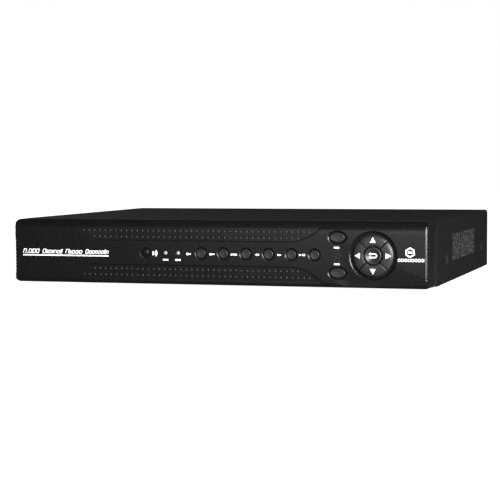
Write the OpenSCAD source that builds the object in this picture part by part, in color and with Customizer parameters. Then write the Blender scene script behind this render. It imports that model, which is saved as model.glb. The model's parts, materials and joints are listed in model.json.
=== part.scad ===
// Slim desktop video recorder with a moulded fascia, push keys, a sheet-metal case
// and the boards, drive, fan and sockets that it holds. Front faces -Y, millimetres.

/* [Case] */
// Width of the metal case
body_w = 300; // [290:1:320]
// Depth of the metal case, front edge to rear edge
body_d = 222; // [220:1:240]
// Height of the metal case
body_h = 43.5; // [43.5:0.5:50]
// Thickness of the sheet steel
sheet = 0.9; // [0.8:0.1:1.2]
// How far the longest rear socket stands out of the case
rear_out = 12; // [12:1:16]
// Height of the rubber feet
foot_h = 2.5; // [2:0.5:6]
// Radius of the rubber feet
foot_r = 8; // [6:0.5:10]

/* [Fascia] */
// Depth of the moulded fascia
fascia_d = 21; // [20:0.5:24]
// Wall of the moulded fascia
fascia_wall = 2.7; // [2.4:0.1:3]
// Height of the sloping edge along the top of the face
top_bevel = 4.2; // [3:0.1:5]
// Height of the sloping edge along the bottom of the face
bottom_bevel = 2.6; // [2:0.1:4]
// How far the case ends stand wider than the face at each side
end_flare = 3.2; // [2:0.1:4]
// Depth of the two dotted bands pressed into the face
band_depth = 0.6; // [0.4:0.1:0.8]
// Radius of the dimples in the dotted bands
dot_r = 0.75; // [0.6:0.05:0.9]
// Spacing of the dimples in the dotted bands
dot_pitch = 4; // [3.8:0.1:4.2]

/* [Keys] */
// Height of the row of round keys above the case bottom
key_z = 20.8; // [20:0.1:22]
// Centre of the first round key from the middle of the case
key_first_x = -9.2; // [-10:0.1:-8]
// Spacing of the round keys
key_pitch = 16.08; // [15.8:0.02:16.2]
// Radius of a round key
key_r = 3.2; // [3:0.1:3.4]
// Travel of every key
key_travel = 0.6; // [0.3:0.1:0.6]
// Centre of the oval keys from the middle of the case
oval_x = 87.1; // [86:0.1:88]
// Height of the oval keys above and below the key row
oval_rise = 11.9; // [11:0.1:12.2]
// Centre of the direction pad from the middle of the case
pad_x = 111.4; // [110:0.1:112]
// Outer radius of the direction keys
pad_r = 13.8; // [13:0.1:14]
// Inner radius of the direction keys
pad_inner_r = 6.6; // [6.4:0.1:6.8]
// Radius of the enter key
enter_r = 5.9; // [5.5:0.1:6]

/* [Inside] */
// Width of the hard drive
drive_w = 101.6; // [101.6:0.1:101.8]
// Length of the hard drive
drive_l = 147; // [146:0.5:147]
// Height of the hard drive
drive_h = 26.1; // [20:0.1:26.1]
// Side of the square fan
fan_size = 40; // [38:1:40]
// Thickness of the fan
fan_t = 10; // [10:1:12]

/* [Hidden] */
$fn = 48;

// Depth runs from the case's front edge: the fascia is at negative depth
key_reach = 1.1;
front_y = fascia_d + key_reach - (fascia_d + key_reach + body_d + rear_out) / 2;
half_w = body_w / 2;
gap = 0.3;
overlap = 1;
cover_in = half_w - sheet;
side_x = cover_in - 0.4;
panel_top = body_h - sheet - 0.5;
rear_face = body_d - 0.2;
rear_in = rear_face - sheet;

// Screw recesses in the sides of the cover: [depth from the front, height]
side_recesses = [[36.7, 16.3], [190.4, 16.3]];
recess_r = 6.9;
recess_depth = 1.6;
screw_hole_r = 1.7;
thread_r = 1.5;
screw_head_r = 2.8;
screw_head_h = 1.4;

// Perforated patches in the sides of the cover
vent_from = 60.3;
vent_to = 156;
vent_low = 13.2;
vent_high = 31.6;
vent_pitch = 4;
vent_r = 1.5;

// Stack of depths behind the face, from the front
face_y = -fascia_d;
wall_in = face_y + fascia_wall;
flange_y = wall_in + 0.2;
flange_t = 1.2;
stem_end = flange_y + flange_t + 2;
switch_top = stem_end + key_travel + 0.2;
switch_seat = switch_top + 4.1;
board_t = 1.6;
key_gap = 0.3;
key_rim = 1.2;
key_proud = 0.1;
dish_r = 4.8;
dish_depth = 0.7;
oval_a = 5.1;
oval_b = 3.1;
oval_groove = 1.2;
pad_recess_r = 15.8;
pad_hole_r = pad_r + key_gap;
pad_split = 0.5;
enter_dome = 0.7;
pad_proud = key_reach - 0.3;
enter_flange_y = flange_y + flange_t + key_travel + 0.2;
lens_x = [-35.1, -25.9];
lens_r = 1.3;
window_x = -50.4;
window_r = 2.7;
window_dish = 4.5;
round_xs = [for (i = [0 : 5]) key_first_x + i * key_pitch];
pad_angles = [90, 0, 270, 180];
plunger_r = 1.5;
pad_plunger_r = 10.4;
key_holder = [for (x = round_xs) [x, key_z], [oval_x, key_z + oval_rise], [oval_x, key_z - oval_rise],
    for (a = pad_angles) [pad_x + pad_plunger_r * cos(a), key_z + pad_plunger_r * sin(a)],
    [pad_x, key_z]];
key_board_x = [-62, 132];
key_board_z = [4.8, 38.6];
key_board_screw_xs = [-57, 28.5, 128.5];

// Main board and what stands on it
board_x = [-143, 36];
board_y = [100, 219];
wing_x = 90;
wing_y = 168;
board_z = 5.2;
board_top = board_z + board_t;
standoff_places = [[-138, 105], [-138, 180], [30, 105], [-42, 105], [84, 172], [84, 203]];
standoff_r = 2.8;
pcb_y = body_d - 8;

// Rear sockets: centres from the middle of the case
bnc_xs = [for (i = [0 : 4]) -115 + 16 * i];
bnc_z = 17;
bnc_r = 4.85;
bnc_nose_r = 4.6;
bnc_nose = 3.4;
bnc_lug_y = body_d + rear_out - 4.9;
bnc_bore_r = 4.05;
rca_xs = [-34, -20];
rca_z = 15.5;
rca_r = 4.15;
vga_x = 3;
vga_z = 14;
vga_stud_span = 25;
hdmi_x = 30;
lan_x = 49;
usb_x = 68;
terminal_x = 83.5;
dc_x = -134;
dc_z = 13;
port_clear = 0.4;

// Drive and fan
drive_x = 42;
drive_y = 14;
drive_z = 4.6;
drive_holes = [[drive_x + 3.2, drive_y + 28.5], [drive_x + drive_w - 3.2, drive_y + 28.5],
    [drive_x + 3.2, drive_y + 130.1], [drive_x + drive_w - 3.2, drive_y + 130.1]];
fan_x = 119;
fan_z = 21.2;
fan_bore_r = fan_size / 2 - 1.2;
fan_y = rear_in - fan_t;
fan_hole = fan_size / 2 - 4;
foot_places = [[-118, 45], [118, 45], [-118, 180], [118, 180]];

// Puts a shape given in case coordinates (depth from the front edge, height from the
// case bottom) into the part's own frame
module in_case() translate([0, front_y, foot_h]) children();

// A box between two corners
module box(low, high) translate(low) cube(high - low);

// A cylinder that runs backwards along depth
module along_y(r, from, to, x, z) translate([x, from, z]) rotate([-90, 0, 0]) cylinder(r = r, h = to - from);

// Unit normal of stretch i of a route, and the mitre direction at point i
function normal(points, i) = let(step = points[i + 1] - points[i]) [-step[1], step[0]] / norm(step);
function mitre(points, i) =
    let(last = len(points) - 1, a = normal(points, max(i - 1, 0)), b = normal(points, min(i, last - 1)))
    (a + b) / (1 + a * b);

// A flat strip of one thickness that follows a list of points, as a 2D shape
module strip(points, thick) {
    last = len(points) - 1;
    polygon([
        for (i = [0 : last]) points[i] + mitre(points, i) * thick / 2,
        for (i = [last : -1 : 0]) points[i] - mitre(points, i) * thick / 2
    ]);
}

// A strip in the depth-height plane, given width along X and centred on x
module cable_strip(points, thick, width, x) {
    translate([x - width / 2, 0, 0]) rotate([90, 0, 90]) linear_extrude(width) strip(points, thick);
}

// A screw with a low round head, pointing along +Z with the head's seat at the origin
module screw(length, head_r = screw_head_r, head_h = screw_head_h, shank_r = thread_r - 0.05) {
    difference() {
        union() {
            translate([0, 0, -head_h]) cylinder(r = head_r, h = head_h);
            cylinder(r = shank_r, h = length);
        }
        for (a = [0, 90]) rotate(a) translate([-head_r * 0.6, -0.3, -head_h - overlap])
            cube([head_r * 1.2, 0.6, overlap + head_h * 0.5]);
    }
}

// Ellipse outline
module oval(a, b) polygon([for (i = [0 : 47]) [a * cos(i * 7.5), b * sin(i * 7.5)]]);

module oval_along_y(a, b, from, to, z) {
    translate([oval_x, to, z]) rotate([90, 0, 0]) linear_extrude(to - from) oval(a, b);
}

// ---- Fascia ----

// Plan outline of the fascia: straight face, quarter-round ends that flare to the case
module fascia_plan(inset) {
    end_r = end_flare + 6;
    half = half_w - inset;
    front = face_y + inset;
    hull_x = half - end_flare;
    polygon([
        [-half, -0.2], [-half - 0.3, -fascia_d * 0.45],
        for (i = [0 : 6]) [-hull_x - end_flare * cos(i * 15), front + end_r * (1 - sin(i * 15))],
        for (i = [6 : -1 : 0]) [hull_x + end_flare * cos(i * 15), front + end_r * (1 - sin(i * 15))],
        [half + 0.3, -fascia_d * 0.45], [half, -0.2]
    ]);
}

// Side outline of the fascia in the depth-height plane
module fascia_side(inset) {
    low = inset;
    high = body_h - inset;
    front = face_y + inset;
    low_cut = inset > 0 ? 0.2 : bottom_bevel;
    high_cut = inset > 0 ? 1.6 : top_bevel;
    polygon([
        [-0.2, low], [front + low_cut * 0.46, low], [front, low + low_cut],
        [front, high - high_cut], [front + high_cut * 0.86, high], [-0.2, high]
    ]);
}

module fascia_block(inset, back) {
    intersection() {
        translate([0, 0, -overlap]) linear_extrude(body_h + 2 * overlap) fascia_plan(inset);
        translate([-half_w - overlap, 0, 0]) rotate([90, 0, 90])
            linear_extrude(body_w + 2 * overlap) fascia_side(inset);
        box([-half_w - overlap, -fascia_d - overlap, -overlap],
            [half_w + overlap, back, body_h + overlap]);
    }
}

// Outline of the upper dotted band; the lower one mirrors it about the key row
module band_outline() {
    polygon([[-104, 18.6], [-95.3, 11.8], [-90, 9.2], [-84.7, 8.1], [56, 8.1], [60, 8.7], [64.5, 10.2],
        [69.5, 12.8], [74, 15.8], [77.6, 18.6]]);
}

function dot_row(row) = row == 0 ? [-95.6, 42] : [-87.6, 38];
dot_heights = [15.4, 11.1];
dot_depth = 0.4;

module dotted_bands() {
    for (side = [0, 1]) translate([0, 0, key_z]) mirror([0, 0, side]) {
        translate([0, face_y + band_depth, 0]) rotate([90, 0, 0])
            linear_extrude(band_depth + overlap) band_outline();
    }
}

// Dimples: caps of spheres pressed into the floor of the bands
module band_dots() {
    ball_r = (dot_r * dot_r + dot_depth * dot_depth) / (2 * dot_depth);
    ball_y = face_y + band_depth + dot_depth - ball_r;
    for (side = [-1, 1], row = [0, 1], i = [0 : dot_row(row)[1] - 1])
        translate([dot_row(row)[0] + i * dot_pitch, ball_y, key_z + side * dot_heights[row]])
            sphere(r = ball_r);
}

module key_hole(x, z, r, rim_r, depth) {
    along_y(r, face_y - overlap, wall_in + overlap, x, z);
    translate([x, face_y - 0.01, z]) rotate([-90, 0, 0]) cylinder(r1 = rim_r, r2 = r, h = depth);
}

module front_panel() {
    color([0.09, 0.09, 0.09]) in_case() {
        difference() {
            fascia_block(0, -0.2);
            fascia_block(fascia_wall, overlap);
            dotted_bands();
            for (x = round_xs) key_hole(x, key_z, key_r + key_gap, dish_r, dish_depth);
            for (side = [-1, 1]) {
                z = key_z + side * oval_rise;
                oval_along_y(oval_a + key_gap, oval_b + key_gap, face_y - overlap, wall_in + overlap,
                    z);
                oval_along_y(oval_a + oval_groove, oval_b + oval_groove - 0.25, face_y - overlap,
                    face_y + 0.5, z);
            }
            key_hole(pad_x, key_z, pad_hole_r, pad_recess_r, 1.2);
            key_hole(window_x, key_z, window_r + 0.02, window_dish, 0.9);
            for (x = lens_x) along_y(lens_r + 0.02, face_y - overlap, wall_in + overlap, x, key_z);
            band_dots();
        }
        for (x = [-120, -40, 40, 120], high = [0, 1]) fascia_clip(x, high);
        for (x = key_board_screw_xs) board_post(x);
    }
}

// Snap hook that reaches through a slot in the front wall of the tray
module fascia_clip(x, high) {
    z = high ? body_h - fascia_wall - 1.6 : fascia_wall;
    box([x - 4, wall_in, z], [x + 4, sheet + 2.4, z + 1.6]);
    barb = high ? z - 0.8 : z + 1.6 - overlap;
    box([x - 4, sheet + 0.6, barb], [x + 4, sheet + 2.4, barb + 1.8]);
}

// Post that the key board is screwed to
module board_post(x) {
    difference() {
        along_y(2.2, wall_in - 0.2, switch_seat, x, key_z - 14.2);
        along_y(0.95, switch_seat - 3.2, switch_seat + overlap, x, key_z - 14.2);
    }
}

module ir_window() {
    color([0.05, 0.01, 0.02]) in_case() {
        along_y(window_r, face_y + 0.5, wall_in + 0.9, window_x, key_z);
        along_y(window_r + 1, wall_in, wall_in + 0.9, window_x, key_z);
    }
}

module indicator_lenses() {
    color([0.8, 0.85, 0.85]) in_case() for (x = lens_x) {
        along_y(lens_r, face_y - 0.1, wall_in + 0.8, x, key_z);
        along_y(lens_r + 0.8, wall_in, wall_in + 0.8, x, key_z);
    }
}

// ---- Keys ----

module plunger(x, z, from) along_y(plunger_r, from, stem_end, x, z);

module round_key(i) {
    x = round_xs[i];
    color([0.14, 0.14, 0.14]) in_case() {
        along_y(key_r, face_y - key_proud + 0.4, flange_y + flange_t, x, key_z);
        translate([x, face_y - key_proud, key_z]) rotate([-90, 0, 0])
            cylinder(r1 = key_r - 0.4, r2 = key_r, h = 0.4);
        along_y(key_r + key_rim, flange_y, flange_y + flange_t, x, key_z);
        plunger(x, key_z, flange_y);
    }
}

module oval_key(side) {
    z = key_z + side * oval_rise;
    color([0.14, 0.14, 0.14]) in_case() {
        oval_along_y(oval_a, oval_b, face_y - key_proud, flange_y + flange_t, z);
        oval_along_y(oval_a + key_rim, oval_b + key_rim, flange_y, flange_y + flange_t, z);
        plunger(oval_x, z, flange_y);
    }
}

// One quarter of the direction pad, pointing along the given angle
module pad_key(angle) {
    color([0.14, 0.14, 0.14]) in_case() {
        translate([pad_x, 0, key_z]) rotate([0, -angle, 0]) {
            pad_sector(pad_r, face_y - pad_proud, flange_y);
            pad_sector(pad_hole_r + key_rim, flange_y, flange_y + flange_t);
        }
        plunger(pad_x + pad_plunger_r * cos(angle), key_z + pad_plunger_r * sin(angle), flange_y);
    }
}

// Quarter ring about the depth axis, centred on +X
module pad_sector(outer, from, to) {
    translate([0, from, 0]) rotate([-90, 0, 0]) difference() {
        rotate(180) cylinder(r = outer, h = to - from);
        translate([0, 0, -overlap]) rotate(180) cylinder(r = pad_inner_r, h = to - from + 2 * overlap);
        for (a = [45, 135]) rotate(a) translate([-2 * outer, -pad_split / 2, -overlap])
            cube([4 * outer, 2 * outer, to - from + 2 * overlap]);
    }
}

module enter_key() {
    color([0.16, 0.16, 0.16]) in_case() {
        translate([pad_x, face_y - key_reach, key_z]) rotate([-90, 0, 0])
            cylinder(r1 = enter_r - enter_dome, r2 = enter_r, h = enter_dome);
        along_y(enter_r, face_y - key_reach + enter_dome, enter_flange_y, pad_x, key_z);
        along_y(enter_r + 1.6, enter_flange_y, stem_end, pad_x, key_z);
    }
}

// ---- Key board ----

module key_board() {
    color([0.05, 0.3, 0.15]) in_case() difference() {
        box([key_board_x[0], switch_seat, key_board_z[0]],
            [key_board_x[1], switch_seat + board_t, key_board_z[1]]);
        for (x = key_board_screw_xs)
            along_y(1.2, switch_seat - overlap, switch_seat + board_t + overlap, x, key_z - 14.2);
    }
}

module key_switches() {
    color([0.1, 0.1, 0.1]) in_case() for (p = key_holder) {
        box([p[0] - 2.6, switch_top + 0.7, p[1] - 2.6], [p[0] + 2.6, switch_seat, p[1] + 2.6]);
        along_y(1.6, switch_top, switch_top + 0.7 + overlap, p[0], p[1]);
    }
}

module ir_receiver() {
    color([0.12, 0.12, 0.12]) in_case() {
        box([window_x - 3, switch_seat - 5, key_z - 3.5], [window_x + 3, switch_seat, key_z + 3.5]);
        translate([window_x, switch_seat - 5, key_z]) sphere(r = 2.4);
    }
}

module status_leds() {
    color([0.85, 0.9, 0.85]) in_case() for (x = lens_x) {
        along_y(1.5, switch_seat - 6, switch_seat, x, key_z);
        translate([x, switch_seat - 6, key_z]) sphere(r = 1.5);
        along_y(1.9, switch_seat - 1, switch_seat, x, key_z);
    }
}

module key_board_screws() {
    color("silver") in_case() for (x = key_board_screw_xs)
        translate([x, switch_seat + board_t, key_z - 14.2]) rotate([90, 0, 0])
            screw(board_t + 2.6, 1.9, 1.1, 0.93);
}

module ribbon_cable() {
    flat_z = 2.6;
    back = switch_seat + board_t;
    route = [[back + 0.5, 24], [back + 3.4, 20], [back + 4.2, 11], [6, flat_z], [90, flat_z],
        [97, 9], [103, 15], [106.4, 15], [106.4, 11.9]];
    color([0.75, 0.75, 0.75]) in_case() {
        cable_strip(route, 0.9, 18, -22);
        box([-32, back, 22], [-12, back + 2.2, 27]);
        box([-31.6, 104.4, 9.4], [-12.4, 108.4, 12.6]);
    }
}

// ---- Sheet-metal case ----

// Rounded rectangle as squares and true circles
module round_rect(low, high, r) {
    translate([low[0] + r, low[1]]) square([high[0] - low[0] - 2 * r, high[1] - low[1]]);
    translate([low[0], low[1] + r]) square([high[0] - low[0], high[1] - low[1] - 2 * r]);
    for (x = [low[0] + r, high[0] - r], z = [low[1] + r, high[1] - r]) translate([x, z]) circle(r = r);
}

module base_tray() {
    color([0.6, 0.62, 0.62]) in_case() difference() {
        union() {
            box([-side_x, 0, 0], [side_x, rear_in, sheet]);
            for (side = [0, 1]) mirror([side, 0, 0]) {
                box([side_x - sheet, 0, 0], [side_x, rear_in - gap, 7]);
                for (p = side_recesses)
                    box([half_w - recess_depth - sheet - 0.1 - 1.4, p[0] - 8, 0],
                        [half_w - recess_depth - sheet - 0.1, p[0] + 8, 24]);
            }
            box([-side_x, 0, 0], [side_x, sheet, panel_top]);
            box([-side_x, rear_in - 9, 0], [-side_x + 12, rear_in, 1.8]);
        }
        for (x = [-120, -40, 40, 120], z = [1.8, body_h - 6.1])
            box([x - 4.6, -overlap, z], [x + 4.6, sheet + overlap, z + 3.9]);
        box([-36, -overlap, 1.7], [-8, sheet + overlap, 20]);
        for (side = [0, 1], p = side_recesses) mirror([side, 0, 0])
            translate([half_w - 8, p[0], p[1]]) rotate([0, 90, 0]) cylinder(r = thread_r, h = 7);
        for (p = drive_holes) floor_hole(p, 1.8);
        for (p = foot_places) floor_hole(p, 2);
        for (i = [0 : 9]) box([-96 + i * 9, 20, -overlap], [-93 + i * 9, 60, sheet + overlap]);
    }
}

module floor_hole(p, r) translate([p[0], p[1], -overlap]) cylinder(r = r, h = 2 * overlap + sheet);

// Grid of six-sided holes through a plate, staggered row by row
module hex_grid(columns, rows, pitch, r, height) {
    for (j = [0 : rows - 1], i = [0 : columns - 1 - j % 2])
        translate([(i + (j % 2) / 2) * pitch, j * pitch * 0.866, 0]) cylinder(r = r, h = height, $fn = 6);
}

module top_cover() {
    bend_r = 2;
    color([0.15, 0.15, 0.15]) in_case() difference() {
        union() {
            translate([0, body_d, 0]) rotate([90, 0, 0]) linear_extrude(body_d - 0.2) difference() {
                round_rect([-half_w, -10], [half_w, body_h], bend_r);
                round_rect([-cover_in, -12], [cover_in, body_h - sheet], bend_r - sheet);
                translate([-half_w - overlap, -20]) square([body_w + 2 * overlap, 20.3]);
            }
            for (side = [0, 1], p = side_recesses) mirror([side, 0, 0])
                translate([half_w - recess_depth - sheet, p[0], p[1]]) rotate([0, 90, 0])
                    cylinder(r = recess_r + sheet, h = recess_depth + sheet - 0.2);
        }
        for (side = [0, 1], p = side_recesses) mirror([side, 0, 0])
            translate([half_w, p[0], p[1]]) rotate([0, 90, 0]) {
                translate([0, 0, -recess_depth])
                    cylinder(r1 = recess_r - 1.4, r2 = recess_r, h = recess_depth + 0.01);
                translate([0, 0, -6]) cylinder(r = screw_hole_r, h = 6 + overlap);
            }
        columns = floor((vent_to - vent_from) / vent_pitch) + 1;
        rows = floor((vent_high - vent_low) / (vent_pitch * 0.866)) + 1;
        for (side = [0, 1]) mirror([side, 0, 0])
            translate([cover_in - overlap, vent_from, vent_low]) rotate([90, 0, 90])
                hex_grid(columns, rows, vent_pitch, vent_r, sheet + 2 * overlap);
    }
}

module port_cut(x, z, w, h) {
    box([x - w / 2, rear_in - overlap, z - h / 2], [x + w / 2, rear_face + overlap, z + h / 2]);
}

module port_hole(x, z, r) along_y(r, rear_in - overlap, rear_face + overlap, x, z);

// Screws that hold the rear panel: [x, height]
rear_screw_places = [[-144.5, 36], [-70, 36], [30, 36], [93, 36], [144.5, 36]];

module rear_panel() {
    color([0.15, 0.15, 0.15]) in_case() {
        difference() {
            box([-side_x, rear_in, 0.2], [side_x, rear_face, panel_top]);
            for (x = bnc_xs) port_hole(x, bnc_z, 6.3);
            for (x = rca_xs) port_hole(x, rca_z, 4.9);
            port_cut(vga_x, vga_z, 20.4, 10.8);
            for (side = [-1, 1]) port_hole(vga_x + side * vga_stud_span / 2, vga_z, 1.7);
            port_cut(hdmi_x, board_top + 3.1, 15 + 2 * port_clear, 6 + 2 * port_clear);
            port_cut(lan_x, board_top + 6.8, 16 + 2 * port_clear, 13.4 + 2 * port_clear);
            port_cut(usb_x, board_top + 7.9, 14 + 2 * port_clear, 15.4 + 2 * port_clear);
            port_cut(terminal_x, board_top + 4.4, 11 + 2 * port_clear, 8.8 + 2 * port_clear);
            port_hole(dc_x, dc_z, 4.2);
            fan_grille();
            for (sx = [-1, 1], sz = [-1, 1])
                port_hole(fan_x + sx * fan_hole, fan_z + sz * fan_hole, 1.8);
            for (p = rear_screw_places) port_hole(p[0], p[1], screw_hole_r);
        }
        for (p = rear_screw_places) difference() {
            box([p[0] - 3.5, rear_in - 5, p[1] - 3.2], [p[0] + 3.5, rear_in, p[1] + 3.6]);
            along_y(thread_r, rear_in - 6, rear_in + overlap, p[0], p[1]);
        }
    }
}

// Six-sided holes inside the circle that the fan blows through
module fan_grille() {
    pitch = 4.4;
    reach = fan_bore_r - 2;
    for (j = [-5 : 5], i = [-5 : 5]) {
        x = (i + (j % 2 == 0 ? 0 : 0.5)) * pitch;
        z = j * pitch * 0.866;
        if (norm([x, z]) < reach) translate([fan_x + x, rear_in - overlap, fan_z + z])
            rotate([-90, 0, 0]) cylinder(r = 1.8, h = sheet + 2 * overlap, $fn = 6);
    }
}

module rear_screws() {
    color("silver") in_case() for (p = rear_screw_places)
        translate([p[0], rear_face, p[1]]) rotate([90, 0, 0]) screw(5);
}

module cover_screws() {
    color("silver") in_case() for (side = [0, 1], p = side_recesses) mirror([side, 0, 0])
        translate([half_w - recess_depth, p[0], p[1]]) rotate([0, -90, 0]) screw(4.2);
}

module rubber_feet() {
    color([0.07, 0.07, 0.07]) in_case() for (p = foot_places) {
        difference() {
            translate([p[0], p[1], -foot_h]) cylinder(r1 = foot_r - 0.8, r2 = foot_r, h = foot_h);
            translate([p[0], p[1], -foot_h - overlap]) cylinder(r = foot_r * 0.45, h = overlap + 0.8);
        }
        translate([p[0], p[1], -0.2]) cylinder(r = 1.95, h = sheet + 0.8);
    }
}

// ---- Main board ----

module main_board() {
    color([0.05, 0.3, 0.15]) in_case() difference() {
        union() {
            box([board_x[0], board_y[0], board_z], [board_x[1], board_y[1], board_top]);
            box([board_x[1] - overlap, wing_y, board_z], [wing_x, board_y[1], board_top]);
        }
        for (p = standoff_places) translate([p[0], p[1], board_z - overlap])
            cylinder(r = 1.6, h = board_t + 2 * overlap);
    }
}

// Block that stands on the main board, centred on a place
module board_block(x, y, w, l, h) {
    box([x - w / 2, y - l / 2, board_top], [x + w / 2, y + l / 2, board_top + h]);
}

module board_standoffs() {
    color([0.75, 0.65, 0.35]) in_case() for (p = standoff_places)
        translate([p[0], p[1], sheet]) difference() {
            cylinder(r = standoff_r, h = board_z - sheet);
            translate([0, 0, 0.8]) cylinder(r = 1.3, h = board_z);
        }
}

module board_screws() {
    color("silver") in_case() for (p = standoff_places)
        translate([p[0], p[1], board_top]) rotate([180, 0, 0]) screw(board_t + 2.4, 2.6, 1.3, 1.25);
}

cpu_x = -62;
cpu_y = 136;

module processor() {
    color([0.12, 0.12, 0.12]) in_case()
        box([cpu_x - 12, cpu_y - 12, board_top], [cpu_x + 12, cpu_y + 12, board_top + 2]);
}

module heatsink() {
    side = 36;
    base = board_top + 2;
    fins = 9;
    fin_t = 1.2;
    color([0.25, 0.27, 0.3]) in_case() {
        box([cpu_x - side / 2, cpu_y - side / 2, base], [cpu_x + side / 2, cpu_y + side / 2, base + 3]);
        for (i = [0 : fins - 1]) {
            x = cpu_x - side / 2 + i * (side - fin_t) / (fins - 1);
            box([x, cpu_y - side / 2, base + 3 - 0.5], [x + fin_t, cpu_y + side / 2, base + 13]);
        }
    }
}

// Chips: [x, depth, width, length, height]
chip_sizes = [[-100, 150, 14, 14, 1.4], [-80, 172, 14, 14, 1.4], [-62, 172, 10, 10, 1.2],
    [-100, 176, 10, 6, 1.5], [-36, 128, 12, 9, 1.2], [-36, 142, 12, 9, 1.2], [-36, 156, 12, 9, 1.2],
    [-12, 150, 8, 12, 1.2], [8, 168, 10, 10, 1.4], [46, 196, 9, 9, 1.2], [-10, 128, 6, 5, 1.6]];

module board_chips() {
    color([0.1, 0.1, 0.1]) in_case() for (c = chip_sizes)
        board_block(c[0], c[1], c[2], c[3], c[4]);
}

// Electrolytic capacitors: [x, depth, radius, height]
capacitor_sizes = [[-134, 192, 5, 16], [-121, 192, 4, 12], [-134, 170, 5, 16], [-121, 170, 4, 12],
    [-87, 118, 3.2, 8], [16, 186, 3.2, 8], [70, 190, 4, 10]];

module capacitors() {
    color([0.2, 0.22, 0.3]) in_case() for (c = capacitor_sizes) translate([c[0], c[1], board_top]) {
        difference() {
            cylinder(r = c[2], h = c[3]);
            for (a = [0, 90]) rotate(a) translate([-c[2] * 0.7, -0.2, c[3] - 0.3])
                cube([c[2] * 1.4, 0.4, overlap]);
        }
    }
}

coil_places = [[-118, 148], [-136, 148]];

module power_coils() {
    color([0.3, 0.3, 0.3]) in_case() for (p = coil_places) translate([p[0], p[1], board_top]) {
        cylinder(r = 6, h = 1.2);
        cylinder(r = 4.2, h = 6);
        translate([0, 0, 5.4]) cylinder(r = 6, h = 1.2);
    }
}

cell_x = -118;
cell_y = 122;

module cell_holder() {
    color([0.1, 0.1, 0.1]) in_case() difference() {
        translate([cell_x, cell_y, board_top]) cylinder(r = 12, h = 4.6);
        translate([cell_x, cell_y, board_top + 1]) cylinder(r = 10.1, h = 5);
        box([cell_x - 5, cell_y - 14, board_top + 1], [cell_x + 5, cell_y, board_top + 6]);
    }
}

module coin_cell() {
    color("silver") in_case() translate([cell_x, cell_y, board_top + 1]) {
        cylinder(r = 10, h = 2.4);
        translate([0, 0, 2.4]) cylinder(r = 8.6, h = 0.8);
    }
}

module buzzer() {
    color([0.08, 0.08, 0.08]) in_case() difference() {
        translate([16, 116, board_top]) cylinder(r = 6, h = 9);
        translate([16, 116, board_top + 7]) cylinder(r = 1.4, h = 4);
    }
}

data_x = 52;
power_x = 72;
header_y = 178;

module board_headers() {
    color([0.85, 0.83, 0.75]) in_case() {
        box([-32, 104, board_top], [-12, 108.8, board_top + 2.6]);
        board_block(data_x, header_y, 16, 6, 8);
        board_block(power_x, header_y, 12, 6, 8);
        board_block(84, 190, 7.5, 5, 6);
    }
}

// ---- Rear sockets ----

module bnc_shells() {
    color([0.7, 0.7, 0.72]) in_case() for (x = bnc_xs) {
        difference() {
            union() {
                along_y(bnc_r, pcb_y, body_d + rear_out - bnc_nose, x, bnc_z);
                along_y(bnc_nose_r, bnc_lug_y, body_d + rear_out, x, bnc_z);
                along_y(6.1, rear_in - 2, rear_face + 0.4, x, bnc_z);
                translate([x, rear_face + 0.4, bnc_z]) rotate([-90, 0, 0]) cylinder(r = 7.2, h = 2, $fn = 6);
                box([x - 7, pcb_y - 10, board_top], [x + 7, rear_in - 0.1, bnc_z + 7]);
                translate([x - 5.6, bnc_lug_y, bnc_z]) rotate([0, 90, 0]) cylinder(r = 1, h = 11.2);
            }
            along_y(bnc_bore_r, rear_face - 6, body_d + rear_out + overlap, x, bnc_z);
        }
    }
}

module bnc_insulators() {
    color([0.92, 0.92, 0.9]) in_case() for (x = bnc_xs) difference() {
        union() {
            along_y(bnc_bore_r, rear_face - 6, rear_face + 2, x, bnc_z);
            along_y(2.4, rear_face + 1, body_d + rear_out - 2.2, x, bnc_z);
        }
        along_y(0.8, rear_face - 6 - overlap, body_d + rear_out, x, bnc_z);
    }
}

module bnc_pins() {
    color([0.85, 0.65, 0.25]) in_case() for (x = bnc_xs) difference() {
        along_y(0.8, rear_face - 6, body_d + rear_out - 2.6, x, bnc_z);
        along_y(0.45, rear_face + 4, body_d + rear_out, x, bnc_z);
    }
}

module rca_shells() {
    color([0.7, 0.7, 0.72]) in_case() for (x = rca_xs) difference() {
        union() {
            along_y(rca_r, rear_in - 1, rear_face + 8.6, x, rca_z);
            along_y(4.8, rear_in - 1, rear_face + 1, x, rca_z);
        }
        along_y(3.5, rear_in - 1 - overlap, rear_face + 9.6, x, rca_z);
    }
}

module rca_insulators() {
    color([0.85, 0.85, 0.85]) in_case() for (x = rca_xs) difference() {
        union() {
            box([x - 5.6, pcb_y - 5, board_top], [x + 5.6, rear_in - 1, rca_z + 5.6]);
            along_y(3.5, rear_in - 1 - 0.5, rear_face + 7.8, x, rca_z);
        }
        along_y(1.65, rear_in - 8, rear_face + 9, x, rca_z);
    }
}

// D-shaped outline with corners cut at ten degrees
module d_outline(w, h, r) {
    slant = h * 0.18;
    difference() {
        round_rect([-w / 2, -h / 2], [w / 2, h / 2], r);
        for (side = [0, 1]) mirror([side, 0, 0])
            polygon([[w / 2 + overlap, -h], [w / 2 - slant, -h / 2 - 0.01], [w / 2 + 0.01, h / 2],
                [w / 2 + overlap, h / 2]]);
    }
}

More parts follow.
